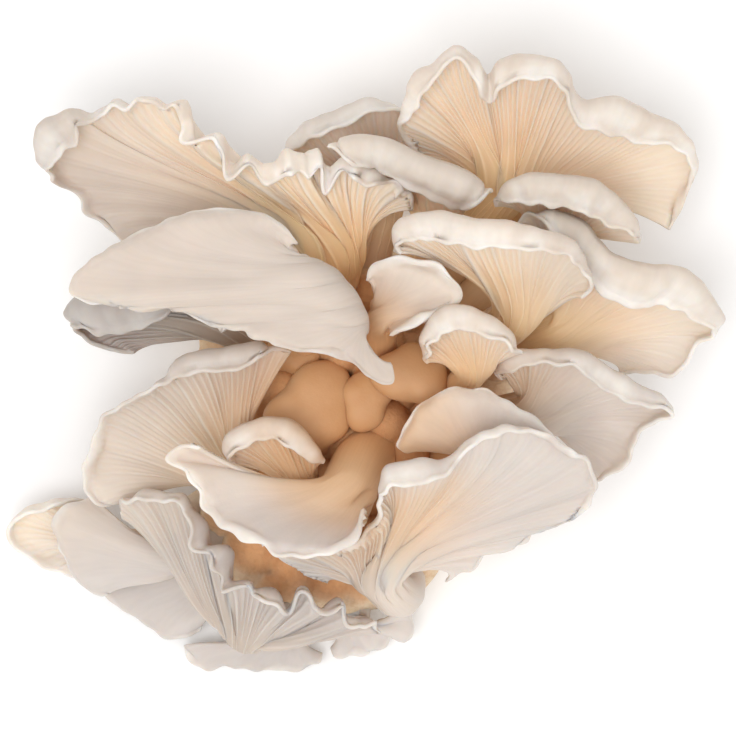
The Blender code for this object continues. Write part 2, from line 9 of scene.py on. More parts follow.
import bpy
import numpy as np
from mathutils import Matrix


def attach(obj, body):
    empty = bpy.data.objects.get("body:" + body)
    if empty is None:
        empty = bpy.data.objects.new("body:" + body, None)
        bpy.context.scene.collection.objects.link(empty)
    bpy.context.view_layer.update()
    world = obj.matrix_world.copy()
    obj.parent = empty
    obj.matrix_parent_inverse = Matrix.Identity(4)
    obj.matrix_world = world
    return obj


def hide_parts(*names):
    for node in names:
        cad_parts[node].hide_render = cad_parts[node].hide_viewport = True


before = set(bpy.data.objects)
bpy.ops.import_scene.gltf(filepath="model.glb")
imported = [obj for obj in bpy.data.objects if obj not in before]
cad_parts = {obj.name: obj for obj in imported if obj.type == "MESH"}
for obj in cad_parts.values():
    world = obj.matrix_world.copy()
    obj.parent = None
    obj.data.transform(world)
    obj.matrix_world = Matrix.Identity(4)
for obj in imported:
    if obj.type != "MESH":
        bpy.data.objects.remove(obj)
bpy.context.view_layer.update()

MM = 0.001

# The plan: outlines are read looking straight down from VIEW_HEIGHT over VIEW_CENTRE. On the plan x
# runs to the right and y towards the front, and sizes are true at the height of VIEW_PLANE.
VIEW_HEIGHT = 1100.0
VIEW_PLANE = 45.0
VIEW_CENTRE = (110.4, 110.4)
VIEW_HALF_WIDTH = 110.4
SENSOR = 36.0
BUTT_CENTRE = (106.5, 128.0)

# The butt: half widths of the lump, its height, and waves round it: depth, number, phase and twist.
BUTT_HALF_X = 50.0
BUTT_HALF_Y = 58.0
BUTT_HEIGHT = 34.0
BUTT_LUMPS = [(0.08, 1, -1.6, 0.0), (0.05, 3, 1.0, 0.04), (0.035, 5, 2.0, -0.06)]

# The butt's outline from its cut to its top: share of its half width, and height.
BUTT_OUTLINE = [
    (0.88, 0.0), (0.93, 1.0), (0.98, 4.0), (1.0, 12.0), (0.93, 20.0), (0.74, 28.0), (0.42, 32.5),
    (0.06, BUTT_HEIGHT),
]
BUTT_ROWS = 90
BUTT_COLUMNS = 200

# Furrows down its sides: depth, number and twist, and the height at which they are full.
BUTT_FURROWS = [(0.012, 17, 0.2), (0.018, 9, -0.12), (0.006, 31, 0.1)]
FURROWS_FULL = 8.0

# Knobs on the butt's top, where stems leave it and young ones start: x, y, radius and height, and the
# heights between which they grow.
KNOBS = [
    (-6, 7, 7, 12), (4, 15, 6, 10), (9, 1, 8, 12), (0, -6, 8, 11), (-14, -2, 8, 13), (16, -8, 7, 9),
    (-22, 12, 7, 11), (-16, 24, 7, 11), (-4, 22, 7, 12), (9, 25, 6, 11), (22, 14, 7, 10), (22, -1, 7, 10),
    (-24, -12, 8, 11), (-8, -18, 8, 9), (6, -20, 7, 8), (-18, -30, 8, 8), (-2, -34, 9, 8), (12, -34, 7, 7),
    (-28, -24, 8, 7), (-32, -38, 8, 8), (-19, -43, 7, 9), (-8, -47, 8, 9), (4, -50, 7, 8),
    (-42, -26, 8, 8), (-24, -52, 7, 7), (26, 24, 7, 8), (30, 8, 7, 6), (-10, 36, 8, 8), (6, 40, 7, 8),
    (-27, 28, 8, 8), (18, 36, 7, 8),
]
KNOBS_GROW = (8.0, 20.0)

# Flesh: thickness where the cap leaves the stem and near the rim, and how much fuller than the
# source's the stems are, so that they crowd the pit.
FLESH_AT_NECK = 5.0
FLESH_AT_RIM = 1.3
STEM_FULLNESS = 1.22

# Places on a mushroom are given as v: -1 at the foot, 0 at the neck, 1 where the margin starts to
# curl, and 2 at the edge.

# Gills: their spacing along the rim on caps that show them and on caps that hide them, how far they
# stand out, and the strips across one gill with the height of each.
GILL_SPACING = 2.5
HIDDEN_GILL_SPACING = 3.2
GILL_DEPTH = 1.4
STRIPS_PER_GILL = 4
STRIP_HEIGHTS = (1.0, 0.30, 0.0, 0.30)

# Where each kind of gill starts and how much that varies, the share of GILL_DEPTH that it has, the
# length over which it rises, and where all of them end.
LONG_START, MIDDLE_START, SHORT_START = -0.35, 0.22, 0.5
START_SPREAD = 0.07
LONG_HEIGHT, SHORT_HEIGHT = 1.35, 0.7
UNEVEN_HEIGHTS = (0.85, 1.15)
GILL_GROWTH = 0.14
GILL_STOP = (1.2, 1.7)

# Gills that stand closer than FULL_SPACING are lower, by this power of their share of it.
FULL_SPACING = 1.364
CROWDING = 1.6

# Where the gills' colour begins and ends, and how much the painted shade in their grooves fades towards the
# rim.
COLOUR_START, COLOUR_STOP = (-0.35, -0.05), (1.3, 1.7)
FADE_TO_RIM = 0.6
FADE = (0.3, 1.0)

# Rows of the fine meshes along the stem, the cap and the margin.
STEM_ROWS = 9
CAP_ROWS = 22
MARGIN_ROWS = 10

# The cap's curve from stem to rim, as in the source: how far its two handles reach, and how much of
# the bow each takes.
HANDLE = 0.33
BOW_AT_STEM = 0.3
BOW_AT_RIM = 1.2

# How far along the rim directions are evened out, as shares of the whole rim, and over what share at
# each end the margin's roll and the waves die away.
EVEN_WIDTH = 0.07
TANGENT_WIDTH = 0.03
NORMAL_WIDTH = 0.012
ROLL_END = 0.12
CALM_END = 0.06

# The margin's rows crowd towards its edge by this power, and its roll goes on this much faster than
# its rows, so that it ends before the edge.
EDGE_CROWDING = 1.6
ROLL_SPEED = 1.5

# How far the ribs turn to meet the rim squarely, from 0 to 1.
SQUARE_TO_RIM = 0.55

# A ripple adds waves of these frequencies and heights, and is divided by their usual sum.
RIPPLE_SHARES = (1.0, 0.73, 0.52)
RIPPLE_SUM = 1.6

# Unevenness: depth and length of the margin's crinkles and the edge's scallops, which each cap's
# frill multiplies, the length of its pleats, and the depth and lengths of its dents.
CRINKLE_DEPTH, CRINKLE_LENGTH = 0.45, 6.5
SCALLOP_DEPTH, SCALLOP_LENGTH = 0.9, 8.0
PLEAT_LENGTH = 19.0
DENT_DEPTH, DENT_LENGTH, DENTS_OUTWARDS = 0.7, 31.0, 5.0

# Where on the cap each of these grows, and where the pleats die away again.
WAVES_GROW = (0.25, 1.1)
CRINKLES_GROW = (0.9, 1.4)
SCALLOPS_GROW = (1.2, 2.0)
DENTS_GROW = (-0.1, 0.4)
PLEATS_GROW = (0.0, 0.7)
PLEATS_DIE = (0.8, 1.4)

# Where the flesh thins over the cap, and where the round stem turns into the flat cap.
FLESH_THINS = (0.0, 0.9)
STEM_FLATTENS = (0.0, 0.5)

# How much fuller the young caps are than the source's, so that they crowd each other, and their
# height as a share of their radius.
YOUNG_FULLNESS = 1.24
YOUNG_HEIGHT = 0.6

# A young cap's section runs from below its edge to its top, in degrees. Its lumps: depth, number and
# twist.
YOUNG_ARC = (-60, 86)
YOUNG_ROUNDNESS = 0.6
YOUNG_LUMPS = [(0.13, 2, 2), (0.09, 3, -3), (0.04, 5, 5)]

# Lights, in metres and watts, and what they point at.
SKY_COLOUR = (1.0, 0.99, 0.98, 1.0)
SKY_STRENGTH = 0.84
KEY_LIGHT = {"place": (-0.20, -0.22, 1.35), "size": 0.7, "power": 8.0, "colour": (0.98, 0.98, 1.0)}
FILL_LIGHT = {"place": (0.3, -0.9, 0.9), "size": 0.9, "power": 1.2, "colour": (1.0, 0.97, 0.92)}
LIT_POINT = (0.0, 0.01, 0.04)

# The floor lies just below the cut, and reaches this far.
FLOOR_HALF = 3.0
FLOOR_DROP = 0.0003

# Painted shade deep in the pit and painted warm shade on the flesh round it, in metres: centre, and the
# distances over which they fade.
PIT_CENTRE, PIT_FADE = (0.006, 0.008, 0.030), (0.018, 0.064)
INNER_CENTRE, INNER_FADE = (0.002, 0.000, 0.046), (0.022, 0.048)

# Flesh: the grain's scale and its bump's strength and depth, and how far each colour of light glows
# through, in shares of GLOW_SCALE.
GRAIN_SCALE = 900.0
GRAIN_BUMP = (0.2, 0.0004)
GLOW_RADIUS = (1.0, 0.62, 0.36)
GLOW_SCALE = 0.005

SEED = 7
SEED_OF_YOUNG = 107


def linear(red, green, blue):
    """A colour given as 0 to 255 on a screen."""
    return tuple((c / 255) ** 2.2 for c in (red, green, blue)) + (1.0,)


# Colours. Pairs are a darker and a lighter patch of one kind of flesh.
SKIN_NEAR_STEM = linear(226, 194, 154)
SKIN = linear(219, 204, 190)
GILLS_NEAR_STEM = linear(244, 206, 154)
GILLS = linear(236, 222, 207)
# painted shade in the grooves between the gills
PAINTED_GROOVE_SHADE = linear(214, 176, 130)
# the margin's own paler colour, partly a painted highlight
PALE_MARGIN_AND_PAINTED_HIGHLIGHT = linear(238, 231, 224)
# painted grey shade on the front caps, and darker painted shade in their grooves
PAINTED_COOL_SHADE = linear(212, 205, 200)
PAINTED_COOL_GROOVE_SHADE = linear(166, 148, 134)
# painted warm shade on the flesh round the pit
PAINTED_WARM_SHADE = linear(224, 184, 142)
# painted shade: dark orange deep in the pit among the stems
PAINTED_PIT_SHADE = linear(220, 158, 102)
YOUNG = (linear(194, 150, 108), linear(208, 168, 130))
BUTT_SIDES = (linear(206, 176, 140), linear(226, 202, 172))
# painted shade: orange-brown on the butt's top, under the caps
BUTT_TOP_PAINTED_SHADE = (linear(198, 140, 94), linear(214, 162, 116))
FIBRES = linear(190, 142, 100)
PAPER = (linear(250, 250, 250), linear(253, 253, 252))


class Mushroom:
    """One mushroom. The rim's points run clockwise on the plan: x, y, height, roll and flap.

    roll is how many degrees the margin curls towards the gills, round a radius of curl, and flap is
    how far it goes on after that. bow lifts the middle of the cap above a straight line from neck to
    rim, and rise is how steeply the cap leaves the stem. root is half the width of the line where the
    cap leaves the stem, if that is wider than the stem. wave is the length of the rim's small waves,
    and pleat the depth of the folds that run from stem to rim. The last three values are pairs of share
    of the rim and amount: frill is the height of the small waves, gills how strongly the gills stand
    out and how dark the painted shade in their grooves is, and the last the painted shading of the
    flesh: painted shade below 1, where the flesh also turns greyer, and painted light above 1.
    """

    def __init__(self, name, gills_up, foot, neck, radii, rim, knee=None, root=0, bow=(0, 0, 0), curl=2.4,
                 rise=0.8, frill=((0, 0.6), (1, 0.6)), wave=19.0, pleat=0.5,
                 gills=((0, 1), (1, 1)), painted_shading=((0, 1), (1, 1))):
        self.name = name
        self.gills_up = gills_up
        self.foot = foot
        self.knee = knee
        self.neck = neck
        self.radii = radii
        self.root = root
        self.rim = rim
        self.bow = bow
        self.curl = curl
        self.rise = rise
        self.frill = frill
        self.wave = wave
        self.pleat = pleat
        self.gills = gills
        self.painted_shading = painted_shading


MUSHROOMS = [
    Mushroom(
        "cap_back_left", True, foot=(97, 101, 15.5), neck=(97.5, 77, 37), radii=(8.0, 8.0), root=12,
        rim=[(37, 73, 34, 0, 4), (30.6, 66, 33, 0, 4), (25, 62, 35, 10, 4), (22.5, 55.5, 39, 20, 4),
             (16.5, 52.5, 42, 40, 6), (12.6, 47, 45, 85, 8), (11.4, 40, 48, 120, 10),
             (15, 34.5, 50, 130, 10), (20, 32.1, 51, 120, 8), (25, 34, 49, 75, 4), (30, 31, 52, 60, 4),
             (38, 28.5, 57, 60, 4), (48, 28.2, 60, 50, 4), (54, 33.9, 58, 40, 4), (60, 39, 57, 40, 4),
             (67, 45.4, 57, 70, 4), (76, 46.4, 58, 95, 5), (82, 48.6, 55, 95, 5),
             (87.6, 44.4, 57, 105, 5.5), (92.4, 47.4, 51, 105, 5.5), (97, 46.2, 49, 110, 5.5),
             (104, 47.8, 49, 110, 5.5), (111, 48.4, 51, 115, 5.5), (118, 52, 49, 105, 4.5),
             (123, 57.6, 46, 75, 4), (124, 63, 44, 40, 3)],
        bow=(-3.5, -0.5, -5.5), rise=0.81,
        frill=((0, 0.6), (0.35, 0.7), (0.5, 2.5), (0.92, 3.0), (1, 0.8)), wave=12.0,
        gills=((0, 0.1), (0.32, 0.08), (0.42, 0.6), (0.6, 1), (1, 1)),
        painted_shading=((0, 0.8), (0.2, 0.82), (0.35, 0.88), (0.5, 1.1), (1, 1.1))),
    Mushroom(
        "cap_front_left", False, foot=(102, 112.5, 24.5), knee=(100.5, 97, 41), neck=(101, 90, 68),
        radii=(6.5, 5.0), root=14,
        rim=[(117.5, 109, 77, 10, 2), (118, 115, 78, 20, 2), (112, 114.5, 78, 20, 2),
             (104, 109.5, 77, 20, 2), (97, 105, 76, 20, 2), (88, 104.5, 76, 20, 2), (78.6, 101, 74, 20, 2),
             (71, 97.5, 72, 20, 2), (62, 98, 71, 20, 2), (54, 93.5, 68, 20, 2), (47, 91, 66, 20, 2),
             (39, 92.5, 66, 20, 2), (29, 91, 63, 20, 2), (20.5, 87.5, 60, 20, 2), (23, 81.5, 61, 25, 2),
             (29, 76.5, 64, 35, 3), (37, 72.6, 68, 45, 3.5), (49.5, 66.8, 72, 55, 3.5),
             (62, 64.5, 74, 55, 3.5), (75, 64.2, 75, 55, 3.5), (84, 68.5, 75, 45, 3), (89, 73, 74, 25, 2)],
        bow=(1, 2, 7),
        frill=((0, 0.3), (0.15, 0.9), (0.45, 0.9), (0.6, 0.5), (1, 0.3)), wave=27.0, pleat=0.15,
        painted_shading=((0, 0.88), (1, 0.88))),
    Mushroom(
        "cap_left_under", True, foot=(88, 110, 14), neck=(74, 99.5, 31.5), radii=(5.5, 5.0), root=8,
        rim=[(40, 106, 29, 5, 3), (31, 103.6, 28, 20, 3), (23.5, 99.5, 29, 50, 4), (19, 94, 32, 85, 5.5),
             (21, 90, 35, 105, 7.5), (28, 88.2, 39, 115, 9.5), (38, 87.5, 42, 115, 8.5),
             (48, 86.5, 44, 95, 6.5), (57, 86, 44, 55, 5)],
        bow=(-0.5, -0.5, -4.5),
        gills=((0, 0.7), (1, 0.9)),
        painted_shading=((0, 0.64), (1, 0.64))),
    Mushroom(
        "cap_left", True, foot=(86, 131.5, 17.5), neck=(70, 138.6, 39), radii=(6.0, 5.5), root=9,
        rim=[(37, 151, 27, 0, 4), (27, 150, 30, 0, 4), (24.3, 140.4, 34, 20, 4), (26.4, 132.9, 38, 20, 4),
             (31.5, 122.4, 44, 30, 4), (40, 117, 49, 30, 4), (48, 111.5, 53, 50, 4), (54, 107.4, 56, 90, 5),
             (66, 103.4, 58, 115, 5), (78, 102.3, 60, 115, 5), (87.5, 105.5, 59, 60, 4)],
        bow=(0.5, -0.5, -4.5), rise=0.77,
        gills=((0, 0.12), (0.3, 0.3), (0.6, 1), (0.85, 0.8), (1, 0.4)),
        painted_shading=((0, 0.84), (1, 0.84))),
    Mushroom(
        "young_front", True, foot=(97, 134, 26), knee=(92, 146, 36), neck=(90.5, 144, 46), radii=(3.6, 3.4),
        rim=[(69.5, 140, 53, 20, 3), (66.5, 134, 57, 90, 3), (70, 128.3, 60, 120, 4),
             (78.6, 124.4, 62, 120, 4), (88.5, 126.9, 62, 120, 4), (95, 133, 60, 100, 3),
             (97, 139, 56, 50, 3)],
        bow=(0, 0, -3), curl=2.0,
        frill=((0, 0.5), (1, 0.5)), gills=((0, 0.8), (1, 0.8)),
        painted_shading=((0, 0.9), (1, 0.9))),
    Mushroom(
        "cap_front", False, foot=(113, 134, 22), knee=(110.5, 134, 42), neck=(105, 146, 52),
        radii=(7.6, 7.0),
        rim=[(109, 152.5, 67, 10, 2), (106.5, 160, 71, 20, 2), (100, 164.5, 73, 20, 2),
             (93, 166, 74, 20, 2), (84, 165.5, 74, 20, 2), (72, 160.5, 73, 20, 2), (64.5, 156, 72, 20, 2),
             (60.5, 149, 72, 20, 2), (56.4, 142, 71, 20, 2), (50.5, 138, 70, 20, 2), (54, 134.6, 70, 30, 2),
             (60, 134.3, 70, 20, 2)],
        bow=(0, 0, -2),
        frill=((0, 0.3), (0.3, 0.8), (0.7, 1.2), (1, 0.5)), wave=22.0, pleat=0.2,
        painted_shading=((0, 0.95), (1, 0.95))),
    Mushroom(
        "cap_front_right", True, foot=(116, 157, 8), knee=(125.5, 187.5, 19), neck=(115, 174.5, 37),
        radii=(6.5, 5.5),
        rim=[(98, 174.5, 36, 0, 2), (89, 170, 41, 0, 3), (83, 164.5, 46, 0, 4), (94, 163, 50, 0, 4),
             (103, 162.5, 53, 5, 3), (110, 160, 58, 5, 2.5), (114, 154.5, 64, 15, 2.5),
             (114.5, 149, 70, 30, 3), (114.5, 143.5, 75, 60, 4.5), (117, 138.8, 78, 90, 5.5),
             (124, 137, 79, 100, 6.5), (132, 137.2, 78, 85, 4.5), (139, 133.5, 76, 60, 3),
             (148, 127.4, 76, 50, 2.5), (162, 128.1, 74, 45, 2.5), (174, 135, 69, 35, 2.5),
             (179, 143, 62, 25, 2.5), (176.5, 151, 56, 10, 1.5), (169, 156.5, 51, 5, 1),
             (159, 160.5, 46, 5, 1), (150, 164, 42, 5, 1), (142.5, 169, 37, 5, 1), (134, 174.5, 32, 5, 1)],
        bow=(4, 0.5, -2.5), rise=0.76,
        frill=((0, 0.6), (0.4, 0.6), (0.7, 0.8), (0.85, 1.5), (1, 1.2)), wave=13.0,
        gills=((0, 1), (0.28, 1), (0.4, 0.4), (0.55, 0.14), (1, 0.1)),
        painted_shading=((0, 0.93), (1, 0.93))),
    Mushroom(
        "cap_centre", False, foot=(113, 110, 28), knee=(114.5, 103, 39.5), neck=(114, 96.5, 51.5),
        radii=(4.4, 4.0),
        rim=[(110, 84, 63, 20, 2), (113, 80.6, 66, 40, 2), (120, 78.8, 69, 40, 2), (129, 79.8, 70, 40, 2),
             (134.5, 83.5, 70, 40, 2), (138, 89, 69, 30, 2), (133, 92, 69, 20, 2), (127.5, 94, 68, 20, 2),
             (122.5, 97.5, 67, 20, 2), (117, 100.5, 64, 10, 2)],
        bow=(0, 0, 3),
        pleat=0.25),
    Mushroom(
        "cap_pit_right", False, foot=(129, 138, 22), neck=(144, 137.5, 50), radii=(5.0, 4.8),
        rim=[(122, 136, 61, 10, 2), (118.8, 133, 62, 30, 2), (121.5, 127, 64, 30, 2),
             (126, 120.5, 66, 40, 2), (134, 116.8, 67, 40, 2), (146, 117.8, 67, 40, 2),
             (156, 123, 65, 40, 2), (165, 129, 61, 20, 2), (167, 134, 57, 10, 2)],
        bow=(0, 0, 5),
        pleat=0.25),
    Mushroom(
        "young_right", True, foot=(129, 126, 25), neck=(141, 112.5, 53), radii=(4.4, 3.8),
        rim=[(128, 109, 61, 20, 3), (125.3, 102, 65, 85, 3), (127.5, 96, 67, 110, 4),
             (133, 92, 69, 115, 4.5), (140, 91.5, 69, 115, 4.5), (148, 94.8, 68, 105, 4),
             (155, 100, 65, 85, 3.5), (157, 106, 61, 40, 4)],
        bow=(0, 0, -2.5), curl=2.2,
        gills=((0, 0.5), (1, 0.4))),
    Mushroom(
        "cap_top", True, foot=(122, 94, 10), neck=(150, 60.5, 34), radii=(7.5, 7.0),
        rim=[(127, 49, 40, 0, 4), (120, 38, 48, 20, 4), (120.6, 29.4, 54, 70, 5), (124, 21.5, 57, 100, 6),
             (130, 18.8, 60, 90, 4), (136, 13, 62, 90, 4), (142, 17, 58, 120, 6), (146.2, 21.5, 52, 130, 6),
             (151, 17.4, 56, 130, 6), (160.5, 15.8, 60, 120, 5), (168, 18, 58, 110, 5),
             (172, 25, 54, 110, 4), (176, 29.2, 51, 120, 6), (185, 29, 51, 130, 8),
             (196.5, 33.9, 48, 130, 7), (205.5, 38.5, 44, 110, 5), (209, 48, 40, 70, 4),
             (206.4, 58.5, 36, 40, 4), (201, 69, 32, 0, 4)],
        bow=(0, 0, -6),
        gills=((0, 0.9), (0.5, 1), (0.68, 0.35), (1, 0.15))),
    Mushroom(
        "cap_right", True, foot=(128, 115, 22), neck=(152, 97, 46), radii=(6.2, 5.8),
        rim=[(120, 76, 69, 20, 4), (117.4, 70.5, 72, 80, 4.5), (119.5, 64.5, 74, 115, 5.5),
             (127, 62.6, 75, 125, 5.5), (140, 64.8, 75, 125, 5), (156, 66.5, 75, 120, 4.5),
             (169, 69.6, 73, 105, 4), (177, 76.5, 69, 60, 4), (178.5, 83.4, 66, 30, 4),
             (174.6, 89.4, 61, 20, 4)],
        bow=(0, 0, -5),
        gills=((0, 1), (0.42, 0.9), (0.62, 0.3), (1, 0.12)),
        painted_shading=((0, 0.95), (1, 0.95))),
    Mushroom(
        "cap_far_right", True, foot=(136, 111, 10), neck=(167, 100.5, 32), radii=(7.0, 6.0),
        rim=[(154, 68, 52, 20, 4), (162, 61.5, 55, 70, 5.5), (172, 65, 55, 110, 7.5),
             (180, 71.5, 54, 130, 8.5), (188, 76.5, 53, 140, 9.5), (196, 79, 52, 140, 10.5),
             (204, 79.5, 50, 140, 9.5), (211.5, 85, 47, 140, 7.5), (216.5, 92.5, 43, 110, 5.5),
             (216.5, 98.5, 39, 60, 4), (211.5, 101.5, 37, 50, 4), (208.5, 106.5, 34, 60, 4),
             (203, 111, 31, 50, 3), (194.5, 111.6, 30, 30, 3), (186, 112, 28, 10, 3)],
        bow=(0.5, 0, -5),
        gills=((0, 0.4), (0.4, 0.2), (1, 0.12))),
    Mushroom(
        "cap_lower_right", True, foot=(135.5, 130.5, 15), neck=(159, 124.5, 36), radii=(7.0, 6.5),
        rim=[(150.5, 114, 48, 20, 4), (148.5, 109.5, 52, 55, 4), (153, 105.5, 55, 85, 3.5),
             (160, 103.4, 56, 90, 3.5), (168, 104, 56, 95, 3.5), (177, 106, 54, 95, 4),
             (184, 110.6, 51, 100, 4.5), (192, 114.6, 49, 100, 5), (199, 117.5, 46, 85, 5),
             (203, 122.4, 43, 55, 4), (196, 127.5, 41, 30, 4), (191.5, 132, 38, 30, 4),
             (190, 138, 35, 30, 4), (183, 143, 32, 20, 4), (177, 145, 30, 0, 4)],
        bow=(-0.5, -0.5, -3.5),
        gills=((0, 1), (0.16, 0.8), (0.32, 0.15), (1, 0.1)),
        painted_shading=((0, 0.94), (1, 0.94))),
    Mushroom(
        "cap_upper_right", True, foot=(131, 101, 18), neck=(161.5, 71.5, 37), radii=(5.6, 5.0),
        rim=[(148.5, 62, 52, 30, 3), (150, 55.5, 57, 85, 3.5), (157, 51.8, 61, 125, 5.5),
             (168, 51.5, 61, 125, 6.5), (178.5, 53.8, 60, 125, 6.5), (187, 60, 56, 115, 5.5),
             (192, 67, 52, 75, 3.5), (192, 73, 47, 20, 3)],
        bow=(0, -0.5, -3.5),
        gills=((0, 0.3), (1, 0.3))),
    Mushroom(
        "cap_upper_middle", True, foot=(115, 103, 20), neck=(129, 72, 34), radii=(5.4, 5.0),
        rim=[(98, 44, 61, 60, 3), (102, 41, 63, 120, 5), (109, 39.6, 64, 140, 7), (117, 40.8, 64, 140, 7),
             (126, 45.8, 65, 140, 8), (136, 49.6, 65, 140, 9), (144, 53, 62, 130, 8),
             (148, 57.5, 58, 80, 4)],
        bow=(0, -5, -11),
        gills=((0, 0.3), (1, 0.3)),
        painted_shading=((0, 0.93), (1, 0.93))),
    Mushroom(
        "cap_back", True, foot=(107, 95, 12), neck=(114.5, 66, 26), radii=(5.0, 4.6),
        rim=[(87, 52, 30, 0, 3), (85.5, 44, 34, 60, 4), (90.5, 38, 37, 100, 5), (99, 33.6, 40, 110, 5),
             (108.6, 29.8, 42, 100, 5), (118.5, 30, 40, 60, 4), (126, 35, 35, 10, 3)],
        bow=(0, 0, -2),
        gills=((0, 0.5), (1, 0.5)),
        painted_shading=((0, 0.86), (1, 0.86))),
    Mushroom(
        "cap_front_bottom", True, foot=(93.5, 160, 12.5), knee=(82.5, 185.5, 14), neck=(75, 190.5, 28),
        radii=(5.0, 4.6), rise=1.29,
        rim=[(36.5, 155, 32, 0, 4), (36, 149, 37, 30, 4), (41, 145.8, 41, 60, 4), (48, 146, 44, 70, 4.5),
             (55, 147, 46, 60, 4), (58.5, 152, 45, 50, 4), (61, 159, 45, 60, 4), (66.5, 164.5, 46, 70, 4),
             (70, 170, 45, 70, 4), (73, 172, 46, 50, 3), (76.5, 175.6, 43, 50, 3), (82.5, 176, 45, 60, 4),
             (88, 178.6, 42, 50, 3), (92, 177, 44, 50, 3), (96.5, 179.6, 41, 50, 3),
             (104, 181.4, 38, 60, 4), (111, 185.6, 34, 60, 4), (114.5, 190, 30, 40, 4)],
        bow=(1, 0, -4),
        frill=((0, 0.6), (0.3, 0.9), (0.45, 2.4), (1, 2.6)), wave=11.0,
        gills=((0, 0.7), (0.5, 0.8), (0.7, 0.5), (1, 0.4)),
        painted_shading=((0, 0.8), (1, 0.8))),
    Mushroom(
        "lobe_far_left", True, foot=(81, 138, 9), neck=(44, 162, 11), radii=(4.0, 3.6),
        rim=[(25, 174, 8, 0, 3), (13, 168, 9, 30, 4), (3.4, 161.4, 11, 50, 4), (4, 155.6, 12, 70, 5),
             (11, 151.2, 13, 80, 5), (20, 151, 12, 60, 4), (29, 152.5, 11, 20, 3)],
        bow=(0, 0, -1),
        gills=((0, 0.4), (1, 0.4))),
    Mushroom(
        "lobe_left", False, foot=(82, 147, 13), neck=(56, 166, 19), radii=(4.5, 4.2),
        rim=[(33, 178, 14, 10, 2), (26, 177.5, 16, 20, 2), (21.5, 173.5, 18, 30, 2), (17.5, 167, 22, 30, 3),
             (15.2, 160, 25, 40, 3), (16.5, 154.5, 26, 40, 3), (21, 150.5, 26, 40, 3),
             (28, 148.8, 23, 20, 2)],
        bow=(0, 0, 4),
        pleat=0.3,
        painted_shading=((0, 0.9), (1, 0.9))),
    Mushroom(
        "lobe_front_left", False, foot=(88, 155, 8), neck=(65.5, 172.5, 11), radii=(3.8, 3.6), root=6,
        rim=[(60.5, 187, 8, 10, 2), (57.5, 190, 7, 20, 2), (52.8, 191.4, 7, 20, 2), (47, 191.2, 7, 20, 2),
             (42, 187.6, 8, 20, 2), (36, 182.8, 9, 20, 2), (30.5, 177.5, 9, 20, 2), (31, 172.5, 7, 10, 2)],
        bow=(0, 0, 4),
        pleat=0.3,
        painted_shading=((0, 0.88), (1, 0.88))),
    Mushroom(
        "lobe_front", False, foot=(98, 165, 8), neck=(87, 189, 8), radii=(3.2, 3.0),
        rim=[(97, 196, 5, 10, 2), (93, 200, 5, 20, 2), (82.5, 201.8, 5, 20, 2), (72, 200.8, 6, 20, 2),
             (63, 200.5, 6, 20, 2), (57, 198.5, 6, 20, 2), (55, 193.5, 7, 10, 2)],
        bow=(0, 0, 3),
        frill=((0, 1.2), (1, 1.2)), wave=16.0,
        painted_shading=((0, 0.88), (1, 0.88))),
    Mushroom(
        "lobe_front_right", False, foot=(109, 163, 8), neck=(107, 185, 10), radii=(3.6, 3.4),
        rim=[(121, 181.5, 15, 10, 2), (125.4, 185, 15, 20, 2), (125.6, 189, 13, 20, 2),
             (120.5, 191.8, 11, 20, 2), (116, 194.6, 9, 20, 2), (110, 197.2, 8, 20, 2),
             (103, 197.6, 8, 20, 2), (99, 194.5, 8, 10, 2)],
        bow=(0, 0, 4),
        frill=((0, 1.8), (1, 1.8)), wave=10.0,
        painted_shading=((0, 0.92), (1, 0.92))),
]


class Button:
    """A young mushroom whose cap has not opened: a bulb of cap_radius on a short stem."""

    def __init__(self, name, foot, top, cap_radius, stem_radius):
        self.name = name
        self.foot = foot
        self.top = top
        self.cap_radius = cap_radius
        self.stem_radius = stem_radius


BUTTONS = [
    Button("button_left", (92, 124, 24), (94, 122, 50), 10.6, 7.4),
    Button("button_back", (88.5, 108.5, 24), (88.5, 105.5, 42), 6.2, 4.6),
    Button("button_middle", (108, 121, 28), (110.5, 119.5, 49), 6.8, 5.2),
    Button("button_right", (121, 118.5, 26), (124, 111, 52), 8.4, 6.0),
]


def place(point):
    """The position of a plan point: it slides along its sight line to its own height."""
    x, y, z = point[:3]
    near = (VIEW_HEIGHT - z) / (VIEW_HEIGHT - VIEW_PLANE)
    seen_x = VIEW_CENTRE[0] + (x - VIEW_CENTRE[0]) * near
    seen_y = VIEW_CENTRE[1] + (y - VIEW_CENTRE[1]) * near
    return np.array((seen_x - BUTT_CENTRE[0], BUTT_CENTRE[1] - seen_y, z))


def unit(vectors):
    return vectors / np.maximum(np.linalg.norm(vectors, axis=-1, keepdims=True), 1e-9)


def ease(t):
    """0 to 1 with flat ends."""
    t = np.clip(t, 0.0, 1.0)
    return t * t * (3 - 2 * t)


def grown(value, span):
    """0 before a span, 1 after it."""
    return ease((value - span[0]) / (span[1] - span[0]))


def even_out(values, width=EVEN_WIDTH):
    """Averages values along the rim with a bell-shaped window."""
    u = np.linspace(0, 1, len(values))
    window = np.exp(-(((u[:, None] - u[None]) / width) ** 2) / 2)
    window /= window.sum(axis=1, keepdims=True)
    return window @ values


